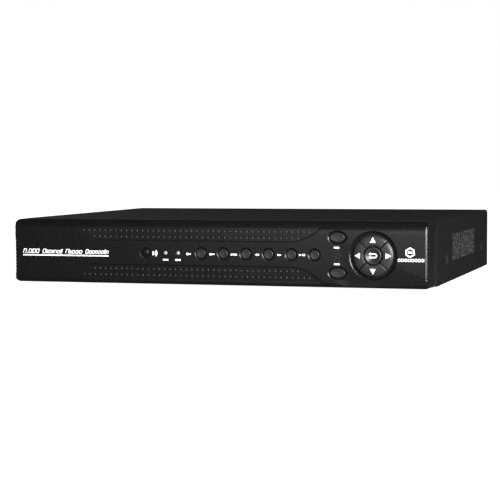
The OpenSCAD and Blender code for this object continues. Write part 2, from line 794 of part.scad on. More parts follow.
module vga_port() {
    color([0.1, 0.15, 0.5]) in_case() difference() {
        union() {
            box([vga_x - 15.4, pcb_y - 4, board_top], [vga_x + 15.4, rear_in - 2.2, vga_z + 6.2]);
            box([vga_x - 15.4, rear_in - 2.2, vga_z - 6.2], [vga_x + 15.4, rear_in - 1, vga_z + 6.2]);
            translate([vga_x, rear_face + 5, vga_z]) rotate([90, 0, 0])
                linear_extrude(7) d_outline(17, 8.6, 2.2);
        }
        for (j = [-1 : 1], i = [-2 : 2])
            along_y(0.55, rear_face - 1, rear_face + 6, vga_x + i * 2.3 + j * 0.55, vga_z + j * 2);
        for (side = [-1, 1])
            along_y(1.4, rear_in - 6, rear_in, vga_x + side * vga_stud_span / 2, vga_z);
    }
}

module vga_studs() {
    color([0.75, 0.75, 0.78]) in_case() for (side = [-1, 1])
        translate([vga_x + side * vga_stud_span / 2, rear_face, vga_z]) rotate([-90, 0, 0]) difference() {
            union() {
                cylinder(r = 2.8, h = 5, $fn = 6);
                translate([0, 0, -5]) cylinder(r = 1.38, h = 6);
            }
            translate([0, 0, 0.5]) cylinder(r = 1.2, h = 5);
        }
}

module hdmi_port() {
    color([0.7, 0.7, 0.72]) in_case() {
        difference() {
            box([hdmi_x - 7.5, pcb_y - 6, board_top], [hdmi_x + 7.5, rear_face + 0.8, board_top + 6]);
            box([hdmi_x - 7, rear_face - 9, board_top + 0.7], [hdmi_x + 7, rear_face + 2, board_top + 5.3]);
        }
        box([hdmi_x - 6, rear_face - 10, board_top + 2.6], [hdmi_x + 6, rear_face - 0.6, board_top + 3.8]);
    }
}

lan_low = 2.6;
lan_high = 10.4;

module lan_port() {
    color([0.7, 0.7, 0.72]) in_case() difference() {
        box([lan_x - 8, pcb_y - 12, board_top], [lan_x + 8, rear_face + 1.2, board_top + 13.4]);
        box([lan_x - 5.9, rear_face - 13, board_top + lan_low],
            [lan_x + 5.9, rear_face + 2, board_top + lan_high]);
        box([lan_x - 3, rear_face - 13, board_top + 1.2],
            [lan_x + 3, rear_face + 2, board_top + lan_low + 0.1]);
    }
}

module usb_ports() {
    color([0.7, 0.7, 0.72]) in_case() {
        difference() {
            box([usb_x - 7, pcb_y - 9, board_top], [usb_x + 7, rear_face + 1, board_top + 15.4]);
            for (z = [1.3, 8.9])
                box([usb_x - 6.3, rear_face - 10, board_top + z],
                    [usb_x + 6.3, rear_face + 2, board_top + z + 5.2]);
        }
        for (z = [3.9, 11.5])
            box([usb_x - 5.6, rear_face - 11, board_top + z],
                [usb_x + 5.6, rear_face - 0.2, board_top + z + 1.9]);
    }
}

module dc_jack() {
    color([0.1, 0.1, 0.1]) in_case() {
        difference() {
            union() {
                box([dc_x - 4.6, pcb_y - 6, board_top], [dc_x + 4.6, rear_in - 0.1, dc_z + 5]);
                along_y(4, rear_in - 1, rear_face + 0.6, dc_x, dc_z);
            }
            along_y(3.15, rear_face - 9, rear_face + 2, dc_x, dc_z);
        }
        along_y(1.05, rear_face - 10, rear_face - 0.4, dc_x, dc_z);
    }
}

module control_terminal() {
    color([0.1, 0.45, 0.2]) in_case() difference() {
        box([terminal_x - 5.5, rear_in - 8, board_top],
            [terminal_x + 5.5, rear_face + 1.6, board_top + 8.8]);
        for (side = [-1, 1]) {
            x = terminal_x + side * 2.54;
            box([x - 1.6, rear_face - 5, board_top + 1.2], [x + 1.6, rear_face + 3, board_top + 4.6]);
            along_y(1.4, rear_face - 3, rear_face + 3, x, board_top + 6.7);
        }
    }
}

// ---- Hard drive ----

module hard_drive() {
    low = [drive_x, drive_y, drive_z];
    high = low + [drive_w, drive_l, drive_h];
    color([0.6, 0.62, 0.64]) in_case() difference() {
        box(low, high);
        for (side = [0, 1]) translate([drive_x + side * drive_w, 0, 0]) mirror([side, 0, 0])
            box([-overlap, drive_y + 8, drive_z + 12], [2, drive_y + 40, drive_z + drive_h + overlap]);
        box([drive_x + 9, drive_y + 12, drive_z - overlap], [high[0] - 9, high[1] - 14, drive_z + 7]);
        box([drive_x + 8, high[1] - 6, drive_z + 1.5], [drive_x + 50, high[1] + overlap, drive_z + 7.5]);
        for (p = drive_holes) translate([p[0], p[1], drive_z - overlap]) cylinder(r = 1.55, h = 5 + overlap);
    }
}

module drive_screws() {
    color("silver") in_case() for (p = drive_holes) translate([p[0], p[1], 0]) {
        translate([0, 0, sheet]) difference() {
            cylinder(r = 3.4, h = drive_z - sheet);
            translate([0, 0, -overlap]) cylinder(r = 1.5, h = drive_z + overlap);
        }
        screw(drive_z + 4, 2.9, 1.2, 1.5);
    }
}

drive_end = drive_y + drive_l;

module drive_data_cable() {
    z = drive_z + 4.5;
    top = board_top + 8;
    route = [[drive_end - 5, z], [drive_end + 3, z], [drive_end + 6.5, z + 4], [drive_end + 8, z + 12],
        [drive_end + 11.5, z + 17.5], [header_y - 2, z + 17.5], [header_y, z + 14], [header_y, top + 2]];
    color([0.75, 0.1, 0.1]) in_case() {
        cable_strip(route, 1.4, 8, data_x + 4);
        box([data_x - 1.5, drive_end - 5.6, drive_z + 1.9], [data_x + 10, drive_end + 1.6, drive_z + 7.1]);
        box([data_x - 3, header_y - 2.6, top], [data_x + 8, header_y + 2.6, top + 4]);
    }
}

module drive_power_cable() {
    z = drive_z + 4.5;
    top = board_top + 8;
    route = [[drive_end - 5, z], [drive_end + 3, z], [drive_end + 6, z + 4], [drive_end + 7.4, z + 11],
        [drive_end + 10.5, z + 15.5], [header_y - 2, z + 15.5], [header_y, z + 12.5], [header_y, top + 2]];
    color([0.1, 0.1, 0.1]) in_case() {
        cable_strip(route, 1.8, 10, power_x);
        box([power_x - 6, drive_end - 5.6, drive_z + 1.9], [power_x + 15, drive_end + 1.6, drive_z + 7.1]);
        box([power_x - 6, header_y - 2.6, top], [power_x + 6, header_y + 2.6, top + 4]);
    }
}

// ---- Fan ----

fan_shaft_r = 1;
hub_r = 9;

module fan_frame() {
    half = fan_size / 2;
    color([0.08, 0.08, 0.08]) in_case() {
        difference() {
            box([fan_x - half, fan_y, fan_z - half], [fan_x + half, rear_in, fan_z + half]);
            along_y(fan_bore_r, fan_y - overlap, rear_in + overlap, fan_x, fan_z);
            for (sx = [-1, 1], sz = [-1, 1])
                along_y(1.6, fan_y - overlap, rear_in + overlap, fan_x + sx * fan_hole,
                    fan_z + sz * fan_hole);
        }
        difference() {
            union() {
                along_y(hub_r, fan_y, fan_y + 1.6, fan_x, fan_z);
                along_y(2.2, fan_y, fan_y + 5, fan_x, fan_z);
                for (a = [45 : 90 : 315]) translate([fan_x, fan_y, fan_z]) rotate([0, a, 0])
                    box([hub_r - 1, 0, -1], [fan_bore_r + 0.6, 1.6, 1]);
            }
            along_y(fan_shaft_r + 0.05, fan_y + 0.8, fan_y + 6, fan_x, fan_z);
        }
    }
}

module fan_rotor() {
    blades = 7;
    front = fan_y + 2.2;
    color([0.12, 0.12, 0.12]) in_case() translate([fan_x, 0, fan_z]) {
        difference() {
            translate([0, front, 0]) rotate([-90, 0, 0]) cylinder(r = hub_r, h = fan_t - 3);
            translate([0, front - overlap, 0]) rotate([-90, 0, 0])
                cylinder(r = hub_r - 1.2, h = fan_t - 4.2 + overlap);
        }
        translate([0, fan_y + 1, 0]) rotate([-90, 0, 0]) cylinder(r = fan_shaft_r, h = fan_t - 2.6);
        intersection() {
            translate([0, front + 0.3, 0]) rotate([-90, 0, 0]) difference() {
                cylinder(r = fan_bore_r - 0.7, h = fan_t - 3.6);
                translate([0, 0, -overlap]) cylinder(r = hub_r - 0.5, h = fan_t);
            }
            for (i = [0 : blades - 1]) rotate([0, i * 360 / blades, 0])
                translate([hub_r - 1, fan_y + fan_t / 2, 0]) rotate([38, 0, 0]) translate([0, -8, -0.6])
                    cube([fan_bore_r, 16, 1.2]);
        }
    }
}

module fan_screws() {
    color("silver") in_case() for (sx = [-1, 1], sz = [-1, 1])
        translate([fan_x + sx * fan_hole, rear_face, fan_z + sz * fan_hole]) rotate([90, 0, 0])
            screw(fan_t + sheet - 1, 2.9, 1.4, 1.58);
}

// Flat two-wire lead from the fan to its header
module fan_lead() {
    plug_low = board_top + 6;
    route = [[fan_x - fan_size / 2 - 0.6, fan_y + 3], [95, fan_y + 1.5], [91, 206], [88, 198],
        [84, 192]];
    color([0.6, 0.1, 0.1]) in_case() {
        translate([0, 0, plug_low + 1]) linear_extrude(1.6) strip(route, 1.6);
        box([80.6, 187.8, plug_low], [87.4, 192.2, plug_low + 3.4]);
    }
}

base_tray();
rear_panel();
top_cover();
front_panel();
ir_window();
indicator_lenses();
round_key(0);  // round_key_1
round_key(1);  // round_key_2
round_key(2);  // round_key_3
round_key(3);  // round_key_4
round_key(4);  // round_key_5
round_key(5);  // round_key_6
oval_key(1);  // upper_oval_key
oval_key(-1);  // lower_oval_key
pad_key(90);  // up_key
pad_key(0);  // right_key
pad_key(270);  // down_key
pad_key(180);  // left_key
enter_key();
key_board();
key_switches();
ir_receiver();
status_leds();
key_board_screws();
ribbon_cable();
main_board();
processor();
heatsink();
board_chips();
capacitors();
power_coils();
coin_cell();
cell_holder();
buzzer();
board_headers();
bnc_shells();
bnc_insulators();
bnc_pins();
rca_shells();
rca_insulators();
vga_port();
vga_studs();
hdmi_port();
lan_port();
usb_ports();
dc_jack();
control_terminal();
hard_drive();
drive_screws();
drive_data_cable();
drive_power_cable();
fan_frame();
fan_rotor();
fan_screws();
fan_lead();
rubber_feet();
cover_screws();
rear_screws();
board_standoffs();
board_screws();
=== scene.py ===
"""Looks of a slim desktop video recorder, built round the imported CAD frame.

Lengths in the helpers are millimetres in case coordinates: x across, d depth from the case's
front edge (the fascia is at negative depth), z up from the case's bottom.
"""

import json
import math

import bmesh
import bpy
import numpy as np
from mathutils import Matrix, Vector
from mathutils.geometry import delaunay_2d_cdt

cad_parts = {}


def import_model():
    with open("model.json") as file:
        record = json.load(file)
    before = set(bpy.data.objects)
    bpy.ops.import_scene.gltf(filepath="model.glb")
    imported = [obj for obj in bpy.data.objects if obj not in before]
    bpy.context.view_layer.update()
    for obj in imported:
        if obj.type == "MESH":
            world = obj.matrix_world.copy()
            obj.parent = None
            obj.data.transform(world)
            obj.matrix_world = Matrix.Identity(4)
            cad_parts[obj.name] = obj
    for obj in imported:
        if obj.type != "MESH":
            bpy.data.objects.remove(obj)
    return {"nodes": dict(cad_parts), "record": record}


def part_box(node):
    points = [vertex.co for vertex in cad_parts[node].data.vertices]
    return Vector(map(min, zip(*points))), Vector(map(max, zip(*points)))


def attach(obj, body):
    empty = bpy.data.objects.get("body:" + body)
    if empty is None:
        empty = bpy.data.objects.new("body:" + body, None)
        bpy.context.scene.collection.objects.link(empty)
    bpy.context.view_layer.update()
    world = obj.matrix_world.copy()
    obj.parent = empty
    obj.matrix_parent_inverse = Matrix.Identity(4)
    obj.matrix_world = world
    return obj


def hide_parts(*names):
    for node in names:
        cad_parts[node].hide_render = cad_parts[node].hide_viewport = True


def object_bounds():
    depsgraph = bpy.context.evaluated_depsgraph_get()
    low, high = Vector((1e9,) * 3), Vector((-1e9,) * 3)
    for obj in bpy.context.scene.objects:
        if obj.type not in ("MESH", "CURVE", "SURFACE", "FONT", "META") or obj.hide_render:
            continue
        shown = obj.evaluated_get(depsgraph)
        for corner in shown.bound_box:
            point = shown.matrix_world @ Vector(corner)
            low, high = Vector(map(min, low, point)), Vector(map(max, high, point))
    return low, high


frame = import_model()
cad_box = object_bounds()

MM = 0.001
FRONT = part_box("top_cover")[0].y - 0.2 * MM
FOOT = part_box("base_tray")[0].z


# ---------------------------------------------------------------- units and places


def world(points):
    """Case millimetres to the frame's metres."""
    p = np.asarray(points, float).reshape(-1, 3) * MM
    p[:, 1] += FRONT
    p[:, 2] += FOOT
    return p


def case_box(node):
    """A CAD node's low and high corners in case millimetres."""
    low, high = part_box(node)
    shift = np.array([0, FRONT, FOOT])
    return (np.array(low) - shift) / MM, (np.array(high) - shift) / MM


def centre(node):
    low, high = case_box(node)
    return (low + high) / 2


# ---------------------------------------------------------------- materials


def add_node(tree, kind, values=None, **settings):
    """Makes a shader node. Sockets among the values are linked, other values are set."""
    made = tree.nodes.new(kind)
    for key, value in settings.items():
        setattr(made, key, value)
    for key, value in (values or {}).items():
        if isinstance(value, bpy.types.NodeSocket):
            tree.links.new(value, made.inputs[key])
        else:
            made.inputs[key].default_value = value
    return made


class Paint:
    """A procedural material: one Principled shader fed by noise at the object's real scale."""

    def __init__(self, name, colour, rough, metal=0.0, specular=0.5):
        self.material = bpy.data.materials.new(name)
        self.material.use_nodes = True
        self.tree = self.material.node_tree
        self.shader = self.tree.nodes["Principled BSDF"]
        self.shader.inputs["Metallic"].default_value = metal
        self.shader.inputs["Specular IOR Level"].default_value = specular
        self.colour = colour
        self.rough = rough
        self.place = self.node("ShaderNodeTexCoord")["Object"]
        self.height = None
        self.base = None

    def node(self, kind, values=None, **settings):
        return add_node(self.tree, kind, values, **settings).outputs

    def noise(self, size, detail=3.0, stretch=(1, 1, 1)):
        """Noise whose features are about size millimetres across."""
        scale = [1 / (size * MM) * s for s in stretch]
        place = self.node("ShaderNodeMapping", {"Vector": self.place, "Scale": scale})["Vector"]
        values = {"Vector": place, "Scale": 1.0, "Detail": detail, "Roughness": 0.55}
        return self.node("ShaderNodeTexNoise", values)["Fac"]

    def span(self, value, low, high, start=0.3, end=0.7):
        """Maps a noise value to a range."""
        ends = {"From Min": start, "From Max": end, "To Min": low, "To Max": high}
        return self.node("ShaderNodeMapRange", {"Value": value, **ends})["Result"]

    def mix(self, amount, a, b):
        """Blends two colours, each three numbers or a socket."""
        a, b = ((*c[:3], 1) if isinstance(c, (tuple, list)) else c for c in (a, b))
        return self.node("ShaderNodeMix", {0: amount, 6: a, 7: b}, data_type="RGBA")[2]

    def mottle(self, size, spread, detail=4.0, stretch=(1, 1, 1)):
        """Cloudy tone variation over the base colour."""
        low = tuple(c * (1 - spread) for c in self.colour)
        high = tuple(c * (1 + spread) for c in self.colour)
        fac = self.span(self.noise(size, detail, stretch=stretch), 0.0, 1.0)
        self.base = self.mix(fac, low, high)
        return self

    def speckle(self, size, colour, share, stretch=(1, 1, 1)):
        """Fine flecks of another tone."""
        fac = self.span(self.noise(size, 1.0, stretch=stretch), 0.0, 0.7, 1 - share, 1.0)
        self.base = self.mix(fac, self.base or self.colour, colour)
        return self

    def bump(self, size, depth, detail=2.0, stretch=(1, 1, 1)):
        """Relief about depth millimetres high."""
        height = self.noise(size, detail, stretch=stretch)
        values = {"Strength": 1.0, "Distance": depth * MM, "Height": height}
        if self.height is not None:
            values["Normal"] = self.height
        self.height = self.node("ShaderNodeBump", values)["Normal"]
        return self

    def wear(self, radius, colour, amount, size=3.0):
        """Lighter, rubbed edges, broken up by noise."""
        bevel = self.node("ShaderNodeBevel", {"Radius": radius * MM}, samples=3)["Normal"]
        flat = self.node("ShaderNodeNewGeometry")["Normal"]
        dot = self.node("ShaderNodeVectorMath", {0: bevel, 1: flat}, operation="DOT_PRODUCT")
        edge = self.span(dot["Value"], amount, 0.0, 0.80, 0.985)
        broken = self.span(self.noise(size, 5.0), 0.25, 1.0, 0.35, 0.6)
        rubbed = self.node("ShaderNodeMath", {0: edge, 1: broken}, operation="MULTIPLY")[0]
        self.base = self.mix(rubbed, self.base or self.colour, colour)
        return self

    def link(self, a, b):
        self.tree.links.new(a, b)

    def done(self, rough_spread=0.06, rough_size=6.0):
        """Joins the layers to the shader, with uneven roughness."""
        rough = self.span(
            self.noise(rough_size, 4.0), self.rough - rough_spread, self.rough + rough_spread
        )
        self.link(rough, self.shader.inputs["Roughness"])
        if self.base is None:
            self.mottle(rough_size, 0.06)
        self.link(self.base, self.shader.inputs["Base Color"])
        if self.height is not None:
            self.link(self.height, self.shader.inputs["Normal"])
        return self.material


def grey(value):
    return (value, value, value)


CASE_TONE = 0.0036
FASCIA_TONE = 0.0034
KEY_TONE = 0.016
# strength of the ink's glow, painted light on the print
INK_PAINTED_GLOW = 0.22

SLOT_MATERIALS = {
    "case_paint": Paint("powder_coat", grey(CASE_TONE), 0.7, specular=0.17)
    .mottle(6, 0.35).speckle(0.9, grey(0.012), 0.42).bump(1.8, 0.11).bump(0.6, 0.03)
    .wear(0.4, grey(0.055), 0.35).done(0.05, 3.0),
    "zinc_steel": Paint("zinc_steel", (0.40, 0.41, 0.42), 0.36, metal=0.9)
    .mottle(6, 0.22, 6.0).bump(8, 0.01, 4.0).wear(0.3, (0.7, 0.7, 0.7), 0.5).done(0.12, 5.0),
    "fascia_plastic": Paint("moulded_fascia", grey(FASCIA_TONE), 0.30, specular=0.42)
    .mottle(2.2, 0.16).bump(0.45, 0.03).bump(1.0, 0.05).wear(0.35, grey(0.05), 0.35)
    .done(0.05, 1.4),
    "key_plastic": Paint("key_plastic", grey(KEY_TONE), 0.36, specular=0.45)
    .mottle(1.5, 0.14).bump(0.3, 0.012).wear(0.25, grey(0.08), 0.4, 1.5).done(0.05, 1.0),
    "window_plastic": Paint("infrared_window", (0.0035, 0.0035, 0.004), 0.26, specular=0.4)
    .mottle(1.2, 0.3).bump(1.0, 0.003).done(0.04, 1.0),
    "lens_plastic": Paint("lens_plastic", (0.30, 0.31, 0.32), 0.16, specular=0.5)
    .mottle(0.8, 0.2).bump(0.5, 0.004).done(0.05, 0.8),
    "circuit_board": Paint("circuit_board", (0.01, 0.075, 0.03), 0.38, specular=0.5)
    .mottle(3, 0.25).speckle(1.6, (0.05, 0.16, 0.07), 0.45).bump(1.2, 0.02).done(0.08, 2.0),
    "black_plastic": Paint("black_plastic", grey(0.014), 0.45, specular=0.4)
    .mottle(2, 0.2).bump(0.4, 0.02).wear(0.25, grey(0.07), 0.4).done(0.07, 2.0),
    "screw_steel": Paint("screw_steel", (0.52, 0.52, 0.53), 0.28, metal=1.0)
    .mottle(1.2, 0.2).bump(0.6, 0.006).wear(0.2, (0.85, 0.85, 0.86), 0.5, 1.0).done(0.08, 1.0),
    "grey_cable": Paint("grey_cable", grey(0.28), 0.5)
    .mottle(1.2, 0.12).bump(1.27, 0.12, 0.0, (1, 0.01, 0.01)).done(0.06, 2.0),
    "heatsink_aluminium": Paint("heatsink_aluminium", (0.05, 0.055, 0.065), 0.36, metal=0.8)
    .mottle(2, 0.2).bump(0.8, 0.01, 2.0, (1, 0.1, 1)).wear(0.3, (0.45, 0.46, 0.48), 0.5)
    .done(0.08, 2.0),
    "capacitor_sleeve": Paint("capacitor_sleeve", (0.012, 0.016, 0.05), 0.3)
    .mottle(2.5, 0.3).bump(1.2, 0.01).wear(0.3, (0.35, 0.36, 0.4), 0.4).done(0.06, 2.0),
    "white_plastic": Paint("white_plastic", (0.62, 0.60, 0.55), 0.42)
    .mottle(2, 0.08).bump(0.5, 0.01).wear(0.2, (0.8, 0.79, 0.75), 0.4).done(0.06, 2.0),
    "nickel": Paint("nickel_plate", (0.58, 0.57, 0.54), 0.24, metal=1.0)
    .mottle(2.5, 0.16, 5.0).bump(1.2, 0.006).wear(0.25, (0.85, 0.84, 0.82), 0.5, 1.0)
    .done(0.09, 2.0),
    "gold_contact": Paint("gold_contact", (0.75, 0.50, 0.16), 0.25, metal=1.0)
    .mottle(1, 0.15).bump(0.5, 0.004).done(0.06, 1.0),
    "blue_plastic": Paint("blue_plastic", (0.012, 0.035, 0.26), 0.4)
    .mottle(1.6, 0.15).bump(0.4, 0.01).wear(0.2, (0.08, 0.13, 0.45), 0.4).done(0.06, 1.5),
    "port_steel": Paint("port_steel", (0.55, 0.55, 0.55), 0.3, metal=1.0)
    .mottle(3, 0.18, 5.0).bump(2, 0.008, 3.0, (1, 0.2, 1)).wear(0.2, (0.8, 0.8, 0.8), 0.5, 1.0)
    .done(0.08, 2.0),
    "green_plastic": Paint("green_plastic", (0.012, 0.16, 0.05), 0.42)
    .mottle(1.5, 0.15).bump(0.4, 0.01).wear(0.2, (0.08, 0.34, 0.16), 0.4).done(0.06, 1.5),
    "drive_casting": Paint("drive_casting", (0.36, 0.37, 0.38), 0.42, metal=0.85)
    .mottle(4, 0.2, 6.0).bump(1.5, 0.05).wear(0.4, (0.65, 0.65, 0.66), 0.5).done(0.1, 3.0),
    "red_cable": Paint("red_cable", (0.36, 0.02, 0.015), 0.42)
    .mottle(1.5, 0.12).bump(0.8, 0.02).done(0.06, 2.0),
    "black_cable": Paint("black_cable", grey(0.02), 0.48)
    .mottle(1.5, 0.2).bump(2.0, 0.1, 0.0, (1, 0.01, 0.01)).done(0.06, 2.0),
    "foot_rubber": Paint("foot_rubber", grey(0.012), 0.8, specular=0.3)
    .mottle(2, 0.2).bump(0.6, 0.04).speckle(1.5, grey(0.05), 0.4).done(0.08, 2.0),
}

# finishes of single faces and of the printed ink, with painted light in them: painted shade on the
# recess walls, a painted highlight on the dots and on the vent patch, and a faint painted glow on
# the ink
# recess walls: darker and duller than the fascia, as painted shade
fascia_recess_painted_shade = (
    Paint("fascia_recess_painted_shade", grey(0.003), 0.7, specular=0.12)
    .mottle(1.2, 0.3).bump(0.4, 0.03).done(0.05, 1.0)
)
# dimple faces: lighter than the fascia, a painted highlight of light catching the pits
dot_painted_highlight = (
    Paint("moulded_dots_painted_highlight", grey(0.0075), 0.5, specular=0.32)
    .mottle(1.2, 0.15).bump(0.4, 0.02).done(0.05, 1.0)
)
print_white = (
    Paint("screen_print", grey(0.88), 0.45)
    .mottle(0.8, 0.06).bump(0.2, 0.004).done(0.05, 0.8)
)
# vent patch: lighter, with light streaks, as painted light for the lit walls of its holes
vent_painted_light = (
    Paint("vent_painted_light", grey(0.016), 0.42, metal=0.2, specular=0.5)
    .mottle(2.4, 0.75, stretch=(1, 0.22, 1)).speckle(1.3, grey(0.36), 0.5, stretch=(1, 0.25, 1))
    .bump(0.9, 0.12).wear(0.3, grey(0.2), 0.5, 1.5).done(0.08, 2.0)
)
black_screw = (
    Paint("black_screw", grey(0.03), 0.38, metal=0.8)
    .mottle(0.8, 0.2).bump(0.4, 0.01).wear(0.15, grey(0.2), 0.5, 0.8).done(0.06, 1.0)
)
# the ink glows a little: painted light that keeps the print bright
ink = print_white.node_tree.nodes["Principled BSDF"]
ink.inputs["Emission Color"].default_value = (1, 1, 1, 1)
ink.inputs["Emission Strength"].default_value = INK_PAINTED_GLOW


# ---------------------------------------------------------------- mesh building


def add_object(name, data):
    obj = bpy.data.objects.new(name, data)
    bpy.context.scene.collection.objects.link(obj)
    return obj


def add_piece(name, points, faces, slot, material=None, body="case", replaces=(), sharp=38):
    """A closed mesh in case millimetres becomes a piece of the object."""
    mesh = bpy.data.meshes.new(name)
    mesh.from_pydata(world(points).tolist(), [], [tuple(int(i) for i in f) for f in faces])
    bm = bmesh.new()
    bm.from_mesh(mesh)
    bmesh.ops.recalc_face_normals(bm, faces=bm.faces)
    bm.to_mesh(mesh)
    bm.free()
    mesh.polygons.foreach_set("use_smooth", [True] * len(mesh.polygons))
    mesh.set_sharp_from_angle(angle=math.radians(sharp))
    mesh.materials.append(material or SLOT_MATERIALS[slot])
    obj = add_object(name, mesh)
    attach(obj, body)
    if replaces:
        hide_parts(*replaces)
    return obj


def paint_faces(obj, choice, *materials):
    """Gives the first faces one of the further materials; 0 keeps the piece's own."""
    slots = np.zeros(len(obj.data.polygons), np.int32)
    slots[: len(choice)] = choice
    for material in materials:
        obj.data.materials.append(material)
    obj.data.polygons.foreach_set("material_index", slots)


def bridge(a, b):
    """Quads between two equally long rings of vertex numbers."""
    n = len(a)
    return [(a[i], a[(i + 1) % n], b[(i + 1) % n], b[i]) for i in range(n)]


class Drawing:
    """Points and constraint lines in a plane, triangulated where keep() says there is material."""

    def __init__(self):
        self.points = []
        self.edges = []
        self.rows = []

    def line(self, points, closed=True):
        first = len(self.points)
        points = [tuple(map(float, p)) for p in points]
        self.points += points
        n = len(points)
        self.edges += [
            (first + i, first + (i + 1) % n) for i in range(n if closed else n - 1)
        ]
        self.rows.append(list(range(first, first + n)))
        return len(self.rows) - 1

    def scatter(self, points, clear):
        """Loose points that stay clear millimetres off every point drawn before."""
        points = np.asarray(points, float)
        drawn = np.asarray(self.points, float)
        for start in range(0, len(points), 400):
            part = points[start : start + 400]
            gap = np.linalg.norm(part[:, None] - drawn[None], axis=2).min(1)
            self.points += [tuple(p) for p in part[gap > clear]]

    def triangles(self, keep):
        made = delaunay_2d_cdt([Vector(p) for p in self.points], self.edges, [], 0, 1e-6)
        verts = np.array([tuple(v) for v in made[0]], float)
        faces = np.array(made[2], int)
        faces = faces[keep(verts[faces].mean(1))]
        where = {}
        for out, sources in enumerate(made[3]):
            for source in sources:
                where[source] = out
        loops = [[where[i] for i in row] for row in self.rows]
        return verts, faces, loops


def surface_normals(position, spots, toward):
    """Unit normals of a mapped surface just inside each face's corner."""
    q = spots + (toward - spots) * 0.03
    h = 0.004
    du = position(q + [h, 0]) - position(q - [h, 0])
    dv = position(q + [0, h]) - position(q - [0, h])
    n = np.cross(du, dv)
    return n / np.maximum(np.linalg.norm(n, axis=1, keepdims=True), 1e-12)


def normals_from_surface(obj, first, faces, offset, plane, position):
    """Corner normals for a run of triangles laid on a mapped surface."""
    mesh = obj.data
    count = len(faces)
    loop_start = np.zeros(len(mesh.polygons), int)
    mesh.polygons.foreach_get("loop_start", loop_start)
    vertex_of = np.zeros(len(mesh.loops), int)
    mesh.loops.foreach_get("vertex_index", vertex_of)
    flat = np.zeros(len(mesh.polygons) * 3)
    mesh.polygons.foreach_get("normal", flat)
    flat = flat.reshape(-1, 3)[first : first + count]
    loops = loop_start[first : first + count, None] + np.arange(3)[None]
    spots = plane[vertex_of[loops] - offset]
    middle = spots.mean(1, keepdims=True)
    n = surface_normals(
        position, spots.reshape(-1, 2), np.repeat(middle, 3, 1).reshape(-1, 2)
    ).reshape(count, 3, 3)
    side = np.sign(np.einsum("ijk,ik->ij", n, flat))
    side[side == 0] = 1
    return loops.ravel(), (n * side[..., None]).reshape(-1, 3)


def apply_normals(obj, runs):
    """Sets exact corner normals for runs of faces and keeps the others as they are."""
    mesh = obj.data
    corner = np.zeros(len(mesh.loops) * 3, np.float32)
    mesh.corner_normals.foreach_get("vector", corner)
    corner = corner.reshape(-1, 3).astype(float)
    for first, faces, offset, plane, position in runs:
        loops, normals = normals_from_surface(obj, first, faces, offset, plane, position)
        corner[loops] = normals
    mesh.normals_split_custom_set(corner.tolist())


def ellipse(cx, cz, a, b, n, turn=0.0):
    t = np.arange(n) * 2 * math.pi / n + turn
    return np.column_stack([cx + a * np.cos(t), cz + b * np.sin(t)])


def along(profile, r):
    """Reads a profile of (place, value) pairs at r."""
    return np.interp(r, *zip(*profile))


def smooth(t):
    """Eases from 0 to 1."""
    t = np.clip(t, 0, 1)
    return t * t * (3 - 2 * t)


def soft_max(a, b, k):
    """The larger of two, blended where they differ by less than k."""
    h = np.clip(0.5 + 0.5 * (a - b) / k, 0, 1)
    return b + (a - b) * h + k * h * (1 - h)


# ---------------------------------------------------------------- fascia surface

# half the width, and the height
HALF, HIGH = 150.0, 43.5
FACE = case_box("front_panel")[0][1]
WALL = 2.7
WALL_IN = FACE + WALL
KEY_Z = centre("round_key_1")[2]
# heights of the bevels along the top and bottom, and how softly the top one starts
TOP_CUT, LOW_CUT, TOP_SOFT = 4.2, 2.6, 3.0
TOP_SLOPE, LOW_SLOPE = 0.9, 0.46
# the skirt reaches below the case's bottom
SKIRT = 0.9
CORNER = 4.0
# the front face stops short of the outline, and the ends swell a little behind it
RIM, RIM_IN, SWELL, SWELL_AT = 149.76, 0.28, 0.3, -9.45
# depth of the edge's rounding outside the face, and of the fascia's back edge
RIGHT_ROUND, LEFT_ROUND, BACK = 1.2, 0.35, -0.2
# hollow behind the front wall: half width, bottom, top
INSIDE = (143.2, 4.2, 39.3)
# ends of the face, left and right: (distance from the middle, added depth)
LEFT_END = [(148.6, 0), (148.9, 0.05), (149.2, 0.22), (149.4, 0.5), (149.6, 1.1), (149.75, 2.2),
            (150.5, 9.0)]
RIGHT_END = [(148.0, 0), (148.2, 1.3), (148.45, 2.7), (148.8, 4.4), (149.15, 6.0), (149.45, 7.4),
             (149.75, 8.9), (150.5, 12.6)]
# upright lip at the right end of the face: (distance from the middle, added depth)
LIP = [(146.2, 0), (146.5, -0.04), (146.65, 0.05), (147.55, 0.8), (147.65, 1.5), (147.95, 1.5),
       (148.05, 1.0), (148.1, 0)]
BAND_DEPTH, BAND_WALL = 0.6, 0.85
# the face curves back a little towards its top and bottom
CROWN, CROWN_Z, CROWN_HALF = 0.2, 21.5, 17
# slanting crease below the direction pad: a point on it, its tilt, and where it fades in
CREASE_X, CREASE_Z, CREASE_TILT, CREASE_FROM = 126.6, 14.3, 0.43, 84
CREASE_SOFT, CREASE_SLOPE = 0.6, 0.05

PAD = centre("enter_key")
ROUND_KEYS = [f"round_key_{i}" for i in range(1, 7)]
OVAL_KEYS = ["upper_oval_key", "lower_oval_key"]
PAD_KEYS = {"right_key": 0, "up_key": 90, "left_key": 180, "down_key": 270}
LENSES = [(-35.1, 1.3), (-25.9, 1.3)]

# each opening: centre x and z, half-axes of the hole, and (distance out from the hole, depth)
KEY_DISH = [(0, 1.1), (0.28, 1.02), (0.36, 0.5), (0.95, 0.06), (1.15, 0)]
OVAL_DISH = [(0, 1.5), (0.5, 1.42), (0.58, 0.6), (1.2, 0.07), (1.4, 0)]
PAD_DISH = [(0, 1.7), (1.45, 1.65), (1.55, 0.72), (2.25, 0.07), (2.45, 0)]
WINDOW_DISH = [(0, 1.0), (0.4, 0.9), (0.5, 0.22), (1.25, 0.04), (1.5, 0)]
LENS_DISH = [(0, 0.14), (0.1, 0.05), (0.2, 0)]

